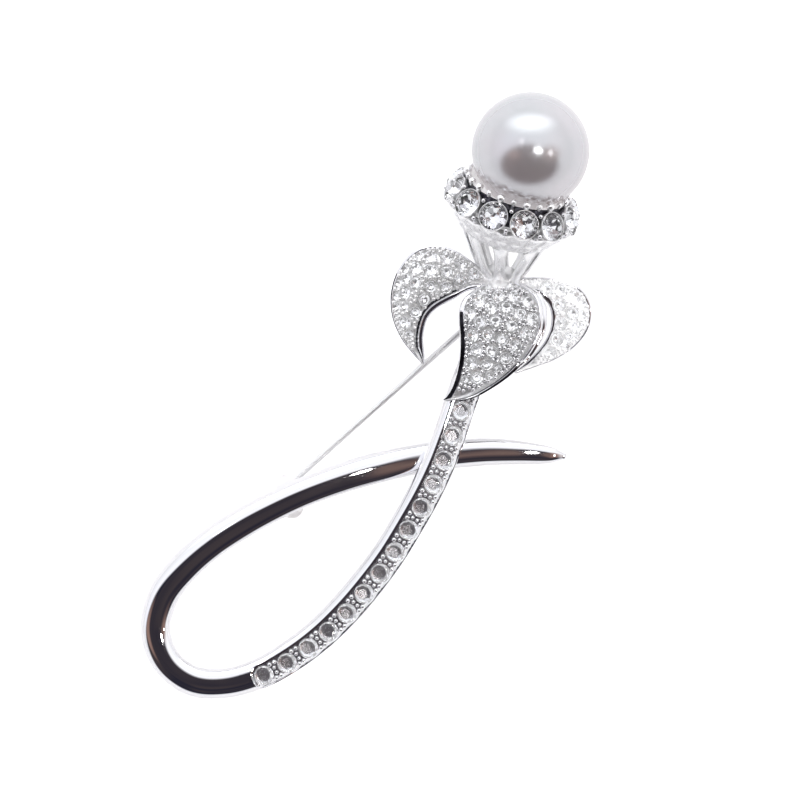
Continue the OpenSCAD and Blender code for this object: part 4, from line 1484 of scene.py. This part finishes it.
@dataclass
class Crown:
    """Ring of stones in cups with claws, over a ribbed basket and bowed wires."""

    place: FlowerFrame
    count: int = 12
    stone_d: float = 2.85
    ring_r: float = 6.4
    rise: float = 9.3
    tilt: float = 28.0
    turn: float = 15.0
    claw_reach: float = 1.02
    strut_count: int = 8
    strut_w: float = 1.2
    strut_h: float = 0.8
    strut_steps: int = 24
    flare: Span = (0.3, 0.5)
    flare_steps: int = 7
    groove_w: float = 0.3
    groove_depth: float = 0.3
    strut_path: Outline = ((1.6, 0.75), (2.2, 1.5), (2.8, 2.5), (3.35, 3.6), (3.85, 4.6), (4.15, 5.5))
    foot: Span = (4.4, 5.3)
    top: Span = (6.75, 7.95)
    wall_steps: int = 20
    rib_count: int = 24
    rib_depth: float = 0.3
    plate_r: float = 5.0
    bead_r: float = 5.28
    bead_rise: float = 2.28
    bead_sizes: tuple[float, ...] = (1.0, 0.8, 1.05, 0.72, 0.92)

    def seat_place(self, k: float) -> Matrix:
        """Returns the place of the k-th stone's girdle.

        Args:
            k: Number of the stone, from 0. Halves lie between two stones.

        Returns:
            The place.
        """
        return (
            self.place.crown @ turned(self.turn + 360 / self.count * k, "Z")
            @ moved(0, -self.ring_r, self.rise) @ turned(90 - self.tilt, "X")
        )

    def cup(self) -> BMesh:
        """Turns one cup, with a rolled lip.

        Returns:
            The cup's mesh.
        """
        r = self.stone_d / 2
        return turned_shape((
            (0, -1.5), (0.85, -1.5), (1.0, -1.42), (1.2, -1.1), (1.42, -0.6), (r + 0.08, -0.3),
            (r + 0.11, -0.14), (r + 0.11, -0.04), (r + 0.08, 0.02), (r + 0.04, 0.02), (r + 0.025, -0.05),
            (r - 0.02, -0.14), (0.95, -0.85), (0.3, -1.35), (0, -1.35),
        ), 40)

    def claw(self) -> BMesh:
        """Turns one claw, with a rounded head.

        Returns:
            The claw's mesh.
        """
        return turned_shape((
            (0, -1.1), (0.32, -1.1), (0.25, -0.3), (0.21, 0.0), (0.23, 0.08), (0.22, 0.18), (0.16, 0.28),
            (0.08, 0.32), (0, 0.33),
        ), 12)

    def wall(self, t: float) -> Row:
        """Returns the basket's radius, height and depth of ribs at a share of its height."""
        r, z = (low + (high - low) * t for low, high in zip(self.foot, self.top))
        return r + 0.1, z, 1.1 * abs(math.sin(2 * math.pi * t)) ** 0.6

    def basket(self) -> BMesh:
        """Draws the basket's ribbed wall, as a ring with a scalloped outside.

        Returns:
            The basket's mesh.
        """
        count = self.rib_count * 8
        (foot_r, foot_z), (top_r, top_z) = self.foot, self.top
        outline = [
            (foot_r - 0.75, foot_z + 0.1, 0.0), (foot_r - 0.35, foot_z - 0.05, 0.1), (foot_r, foot_z, 0.5),
            *(self.wall(k / self.wall_steps) for k in range(1, self.wall_steps)),
            (top_r + 0.04, top_z - 0.02, 0.2), (top_r - 0.1, top_z + 0.05, 0.0), (top_r - 1.3, top_z, 0.0),
            (top_r - 1.35, top_z - 0.4, 0.0), (foot_r - 0.6, foot_z + 0.6, 0.0),
        ]
        rings = []
        for r, z, share in (*outline, outline[0]):
            ring = []
            for p in round_points(1.0, count, z):
                q = math.atan2(p.y, p.x)
                out = r + self.rib_depth * share * (abs(math.cos(self.rib_count * q / 2)) ** 0.7 - 0.35)
                ring.append(Vector((p.x * out, p.y * out, z)))
            rings.append(ring)
        bm = bmesh.new()
        draw_out(bm, rings, capped=False)
        tidy_skin(bm)
        return bm

    def strut(self, bm: BMesh, angle: float) -> None:
        """Draws one grooved wire from the hub to the basket, and flares its ends.

        Args:
            bm: The mesh that takes the wire.
            angle: The wire's turn from the front of the flower, in degrees.
        """
        flower, crown = self.place.flower @ turned(angle, "Z"), self.place.crown @ turned(angle, "Z")
        across = (flower.to_3x3() @ Vector((1, 0, 0))).normalized()
        last = len(self.strut_path) - 1

        def middle(s: float) -> Vector:
            """Returns the wire's middle at s rows of its path.

            Args:
                s: Place on the wire, in rows of its path.

            Returns:
                The point.
            """
            r, z = row_at(self.strut_path, max(0.0, min(last, s)))
            low = Vector((0, -r, z))
            return (flower @ low).lerp(crown @ low, s / last)

        rings = []
        for k in range(self.strut_steps + 1):
            s = last * k / self.strut_steps
            along = (middle(s + 0.05) - middle(s - 0.05)).normalized()
            out = along.cross(across).normalized()
            place = placed(out.cross(along), along, out, middle(s))
            low_flare = self.flare[0] * ease(1 - k / self.flare_steps)
            top_flare = self.flare[1] * ease(1 - (self.strut_steps - k) / self.flare_steps)
            wide = self.strut_w * (1 + low_flare + top_flare) / 2
            ring = []
            for p in round_points(1.0, 24):
                groove = 1 - self.groove_depth * math.exp(-((p.x / self.groove_w) ** 2)) * (p.y > 0)
                ring.append(place @ Vector((p.x * wide, 0, p.y * groove * self.strut_h / 2)))
            rings.append(ring)
        draw_out(bm, rings)

    def plate(self) -> BMesh:
        """Turns the plate under the pearl with its gallery wall.

        Returns:
            The plate. The wall's outer face takes material 1, a near-black painted shade, and its top and
            inside 2, a painted glow.
        """
        z, r = self.place.seat_rise, self.plate_r
        bm = turned_shape((
            (0, z - 0.6), (r - 0.4, z - 0.6), (r + 0.25, z - 0.6), (r + 0.3, z - 0.5), (r + 0.3, z + 0.85),
            (r + 0.25, z + 1.2), (r + 0.3, z + 1.8), (r + 0.3, z + 1.9), (r + 0.26, z + 1.96),
            (r + 0.16, z + 1.96), (r + 0.1, z + 1.9), (r, z + 1.2), (r - 0.2, z + 0.5), (r - 0.5, z + 0.1),
            (r - 0.8, z), (0, z),
        ), 72)
        for face in bm.faces:
            spot = face.calc_center_median()
            if spot.z > z - 0.1:
                # painted shade on the wall's outside, painted light on its top and inside
                face.material_index = 1 if spot.xy.length > r + 0.25 else 2
        return bm

    def gallery_beads(self) -> BMesh:
        """Lays beads of several sizes on the gallery wall.

        Returns:
            A mesh with all the beads.
        """
        rise = self.place.seat_rise + self.bead_rise
        outline = (
            (0, -0.5), (0.22, -0.5), (0.3, -0.3), (0.39, -0.15), (0.42, 0), (0.37, 0.2), (0.22, 0.36),
            (0, 0.42),
        )
        places = []
        for k in range(2 * self.count):
            size = Matrix.Scale(self.bead_sizes[k % len(self.bead_sizes)], 4)
            place = turned(self.turn + 180 / self.count * k, "Z") @ moved(0, -self.bead_r, rise)
            places.append(self.place.crown @ place @ size)
        return copies(turned_shape(outline, 14), places)

    def hub(self) -> BMesh:
        """Turns the hub that stands in the neck.

        Returns:
            The hub's mesh.
        """
        return turned_shape((
            (0, -0.5), (0.9, -0.5), (0.9, 0.35), (2.0, 0.35), (2.2, 0.42), (2.3, 0.65), (2.2, 0.9),
            (1.95, 1.15), (1.5, 1.4), (0.8, 1.5), (0, 1.52),
        ), 48, self.place.flower)

    def peg(self) -> BMesh:
        """Turns the peg that the pearl sits on.

        Returns:
            The peg's mesh.
        """
        z = self.place.seat_rise
        outline = ((0, z - 0.5), (0.55, z - 0.5), (0.55, z + 3.3), (0.45, z + 3.4), (0, z + 3.4))
        return turned_shape(outline, 20, self.place.flower)

    def build(self, finishes: Finishes) -> None:
        """Makes the crown's metal and its stones.

        Args:
            finishes: Finishes of the brooch.
        """
        crown = self.place.crown
        seats = [self.seat_place(k) for k in range(self.count)]
        claws = [
            self.seat_place(k + 0.5) @ moved(0, side * self.claw_reach, 0)
            for k in range(self.count) for side in (-1, 1)
        ]
        cups = Card("crown_cups", Slot.METAL, stands_for=("crown",))
        seat(copies(self.cup(), seats), cups, [finishes.frosted])
        seat(copies(self.claw(), claws), Card("crown_claws", Slot.METAL), [finishes.rhodium])
        seat(copies(self.basket(), [crown]), Card("crown_basket", Slot.METAL, crease=60), [finishes.satin])
        wires = bmesh.new()
        for k in range(self.strut_count):
            self.strut(wires, 360 / self.strut_count * k)
        tidy_skin(wires)
        seat(wires, Card("crown_wires", Slot.METAL, crease=60), [finishes.satin])
        plate = Card("pearl_plate", Slot.METAL)
        # painted shade on the wall's outside and painted light on its top and inside
        seat(copies(self.plate(), [crown]), plate, [finishes.frosted, finishes.recess, finishes.painted_light_seat])
        seat(self.gallery_beads(), Card("gallery_beads", Slot.METAL, crease=60), [finishes.satin])
        seat(self.hub(), Card("crown_hub", Slot.METAL, crease=60), [finishes.frosted])
        seat(self.peg(), Card("pearl_peg", Slot.METAL), [finishes.rhodium])
        size = Matrix.Scale(self.stone_d / 2, 4)
        for k, place in enumerate(seats):
            node = f"collar_stone_{k + 1:02d}"
            stone = CROWN_CUT.stone()
            bmesh.ops.transform(stone, matrix=place @ turned(29 * k, "Z") @ size, verts=stone.verts)
            card = Card(f"cut_{node}", Slot.STONE, stands_for=(node,), crease=0)
            seat(stone, card, [finishes.crystal, finishes.foil])


@dataclass
class Pearl:
    """The drilled pearl."""

    place: FlowerFrame
    bore_r: float = 0.65
    bore_top: float = -2.0
    steps: int = 224
    arc_steps: int = 140

    def build(self, finishes: Finishes) -> None:
        """Turns the pearl with its blind hole.

        Args:
            finishes: Finishes of the brooch.
        """
        r = self.place.pearl_r
        start = math.asin(self.bore_r / r)
        arc = [start + (math.pi - start) * k / self.arc_steps for k in range(self.arc_steps)]
        outline = [
            (0.0, self.bore_top), (self.bore_r, self.bore_top),
            *((r * math.sin(q), -r * math.cos(q)) for q in arc), (0.0, r),
        ]
        bead = turned_shape(outline, self.steps, self.place.flower @ moved(0, 0, self.place.pearl_rise))
        seat(bead, Card("drilled_pearl", Slot.PEARL, stands_for=("pearl",), crease=50), [finishes.lustre])


# Pin and catch


@dataclass(frozen=True)
class PinFrame:
    """Place of the pin: its hinge, its height and its direction in degrees."""

    x: float = 11.9
    y: float = 8.53
    z: float = 1.25
    turn: float = 221.7

    @property
    def place(self) -> Matrix:
        """Frame of the pin: the hinge is the origin, and x runs along the wire."""
        return moved(self.x, self.y, self.z) @ turned(self.turn, "Z")


@dataclass
class PinFittings:
    """The pin on its rivet, the bracket that holds it, and the catch."""

    place: PinFrame
    wire_r: float = 0.325
    length: float = 29.4
    taper: float = 4.0
    barrel_r: float = 0.85
    barrel_w: float = 1.0
    barrel_edge: float = 0.06
    bore_r: float = 0.4
    rivet_r: float = 0.35
    rivet_w: float = 2.6

    def pin(self) -> BMesh:
        """Turns the wire with its point and the barrel round the rivet.

        Returns:
            The pin's mesh.
        """
        r, start, tip = self.wire_r, self.barrel_r - 0.12, self.length - self.taper
        wire = turned_shape((
            (0, start), (r + 0.12, start), (r + 0.03, start + 0.2), (r, start + 0.4),
            *((r, start + 0.4 + k) for k in (5.0, 10.0, 15.0, 20.0)), (r, tip),
            (r * 0.8, tip + self.taper * 0.38), (r * 0.5, tip + self.taper * 0.72),
            (0.09, self.length - 0.18), (0.05, self.length - 0.04), (0, self.length),
        ), 32, turned(90, "Y"))
        h, e, out, bore = self.barrel_w / 2, self.barrel_edge, self.barrel_r, self.bore_r
        join(wire, turned_shape((
            (bore, -h + e), (bore + e, -h), (out - e, -h), (out, -h + e),
            (out, h - e), (out - e, h), (bore + e, h), (bore, h - e),
        ), 48, turned(90, "X"), closed=True))
        bmesh.ops.transform(wire, matrix=self.place.place, verts=wire.verts)
        return wire

    def rivet(self) -> BMesh:
        """Turns the rivet, with domed ends.

        Returns:
            The rivet's mesh.
        """
        h, r = self.rivet_w / 2, self.rivet_r
        return turned_shape((
            (0, -h), (r * 0.6, -h + 0.02), (r * 0.9, -h + 0.07), (r, -h + 0.15), (r, h - 0.15),
            (r * 0.9, h - 0.07), (r * 0.6, h - 0.02), (0, h),
        ), 32, self.place.place @ turned(90, "X"))

    def build(self, finishes: Finishes) -> None:
        """Makes the pin and its rivet, and finishes the bracket and the catch.

        Args:
            finishes: Finishes of the brooch.
        """
        pin = Card("pin_wire", Slot.STEEL, Body.PIN, stands_for=("pin_stem",), crease=35)
        seat(self.pin(), pin, [finishes.wire])
        seat(self.rivet(), Card("pin_rivet", Slot.STEEL, stands_for=("hinge_rivet",)), [finishes.wire])
        self.dress(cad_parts["hinge_bracket"], finishes.rhodium)
        self.dress(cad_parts["catch"], finishes.pale)

    @staticmethod
    def dress(node: bpy.types.Object, finish: bpy.types.Material) -> None:
        """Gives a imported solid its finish.

        Args:
            node: The solid's object.
            finish: The material that it takes.
        """
        for place in node.material_slots:
            place.link = "OBJECT"
            place.material = finish
        LOG.info("%s: dressed", node.name)


# Studio


@dataclass(frozen=True)
class Glow:
    """A bright or dark shape in the light tent, in the disc of half-way directions."""

    x: float
    y: float
    wide: float
    high: float
    soft: float
    colour: Colour = WHITE
    strength: float = 1.0


@dataclass
class Studio:
    """Pale floor, white light tent with an opening over the brooch, and the camera."""

    middle: Span = (3.43, -0.43)
    view_w: float = 81.36
    distance: float = 2600.0
    target_z: float = 5.0
    film_w: float = 36.0
    clip: Span = (0.05, 20.0)
    floor_half: float = 1.5
    tent: float = 1.16
    left_wall: Colour = (0.93, 0.925, 1.0)
    right_wall: Colour = (0.985, 0.985, 1.0)
    far_wall: Colour = (0.9, 0.95, 0.97)
    low_wall: Colour = (0.78, 0.785, 0.8)
    opening_dark: Colour = (0.02, 0.019, 0.03)
    opening_pale: Colour = (0.05, 0.04, 0.043)
    opening: Glow = Glow(-0.02, -0.235, 0.53, 0.365, 0.2)
    lamps: tuple[Glow, ...] = (
        Glow(0.34, -0.05, 0.18, 0.15, 0.9, (0.26, 0.165, 0.14)),
        Glow(-0.28, -0.06, 0.13, 0.09, 0.6, (0.26, 0.165, 0.14)),
        Glow(0.0, 0.47, 0.44, 0.17, 0.7, WHITE, 1.9),
        Glow(0.2, -0.03, 0.05, 0.06, 0.9, (0.15, 0.1, 0.088)),
        Glow(-0.146, 0.15, 0.016, 0.016, 0.5, (1.0, 0.96, 0.94), 9.0),
        Glow(0.128, 0.0, 0.019, 0.019, 0.4, (1.0, 0.96, 0.95), 90.0),
        Glow(0.34, -0.04, 0.016, 0.016, 0.6, (1.0, 0.95, 0.94), 25.0),
    )

    def shape(self, bench: Bench, hx: object, hy: object, glow: Glow) -> bpy.types.NodeSocket:
        """Returns the share of a glow in each direction.

        Args:
            bench: The world's node tree.
            hx: Half-way direction across.
            hy: Half-way direction up.
            glow: The shape.

        Returns:
            A socket that is 1 inside the shape and 0 outside.
        """
        u = bench.math("DIVIDE", bench.math("SUBTRACT", hx, glow.x), glow.wide)
        v = bench.math("DIVIDE", bench.math("SUBTRACT", hy, glow.y), glow.high)
        return bench.add(
            "MapRange", {"clamp": True, "interpolation_type": "SMOOTHSTEP"}, Value=bench.reach(u, v),
            From_Min=1 - glow.soft, From_Max=1 + glow.soft * 0.3, To_Min=1.0, To_Max=0.0,
        ).outputs[0]

    def hang_tent(self) -> None:
        """Wires the world: a white tent, its opening and its lamps."""
        world = bpy.data.worlds.new("light_tent")
        bpy.context.scene.world = world
        world.use_nodes = True
        bench = Bench(world.node_tree)
        ray = bench.add("TexCoord").outputs["Generated"]
        half = bench.add(
            "VectorMath", {"operation": "NORMALIZE"},
            in0=bench.add("VectorMath", {"operation": "ADD"}, in0=ray, in1=(0.0, 0.0, 1.0)).outputs[0],
        ).outputs[0]
        parts = bench.add("SeparateXYZ", None, Vector=half)
        hx, hy = parts.outputs[0], parts.outputs[1]
        walls = bench.blend(bench.span(hx, (-0.7, 0.6)), paint(self.left_wall), paint(self.right_wall))
        walls = bench.blend(bench.span(hy, (0.1, 0.65)), walls, paint(self.far_wall))
        walls = bench.blend(bench.span(bench.reach(hx, hy), (0.4, 0.7)), walls, paint(self.low_wall))
        patch = bench.span(bench.noise(half, 3.2, 2.0), (0.45, 0.62))
        inside = bench.blend(patch, paint(self.opening_dark), paint(self.opening_pale))
        colour = bench.blend(self.shape(bench, hx, hy, self.opening), walls, inside)
        for lamp in self.lamps:
            bright = tuple(c * lamp.strength for c in lamp.colour)
            colour = bench.blend(self.shape(bench, hx, hy, lamp), colour, paint(bright))
        seen = bench.add("LightPath").outputs["Is Camera Ray"]
        colour = bench.blend(seen, colour, paint(WHITE))
        glow = bench.add("Background", None, Color=colour, Strength=self.tent)
        world.node_tree.links.new(glow.outputs[0], bench.add("OutputWorld").inputs["Surface"])

    def lay_floor(self) -> None:
        """Lays the pale floor."""
        bm = bmesh.new()
        bmesh.ops.create_grid(bm, x_segments=4, y_segments=4, size=self.floor_half)
        mesh = bpy.data.meshes.new("floor")
        bm.to_mesh(mesh)
        bm.free()
        mesh.materials.append(FloorFinish().material())
        floor = bpy.data.objects.new("floor", mesh)
        bpy.context.scene.collection.objects.link(floor)

    def set_camera(self) -> None:
        """Hangs the camera straight over the brooch, with a long lens."""
        data = bpy.data.cameras.new("camera")
        data.sensor_width = self.film_w
        data.lens = self.film_w * self.distance / self.view_w
        data.clip_start, data.clip_end = self.clip
        camera = bpy.data.objects.new("camera", data)
        camera.location = Vector((*self.middle, self.distance + self.target_z)) * MM
        bpy.context.scene.collection.objects.link(camera)
        bpy.context.scene.camera = camera

    def build(self) -> None:
        """Sets up the studio."""
        self.hang_tent()
        self.lay_floor()
        self.set_camera()
        bpy.context.scene.view_settings.view_transform = "Standard"


def write_sizes() -> None:
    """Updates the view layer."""
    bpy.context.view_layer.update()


def main() -> None:
    """Builds the studio and every sub-assembly in order."""
    logging.basicConfig(level=logging.INFO, format="%(name)s %(message)s")
    finishes = Finishes()
    flower = FlowerFrame()
    Studio().build()
    Stem().build(finishes)
    Neck(flower).build(finishes)
    left = Leaf(
        "left", LEFT_ROWS, finishes.bed, finishes.bed, finishes.painted_glow_foil,
        Rim(roll(0.46), OUTER, dark=(2,), start=0.45), Rim(roll(0.6), INNER, dark=(5,), start=0.12),
    )
    front = Leaf(
        "front", FRONT_ROWS, finishes.bed, finishes.setting, finishes.painted_glow_foil,
        Rim(roll(0.6), GROOVED, dark=(2, 3, 4), start=0.17),
        Rim(STEPPED, DOUBLE, dark=(1, 6), start=0.56, over=0.08),
    )
    # painted light: the right leaf's bed, grains and foil glow more than the others
    right = Leaf(
        "right", RIGHT_ROWS, finishes.painted_glow_bed, finishes.painted_glow_bed, finishes.painted_bright_foil,
        Rim(STEPPED, roll(0.7)), Rim(roll(0.45), roll(0.45)),
    )
    for leaf in (left, front, right):
        leaf.build(finishes)
    Crown(flower).build(finishes)
    Pearl(flower).build(finishes)
    PinFittings(PinFrame()).build(finishes)
    write_sizes()


if __name__ == "__main__":
    main()
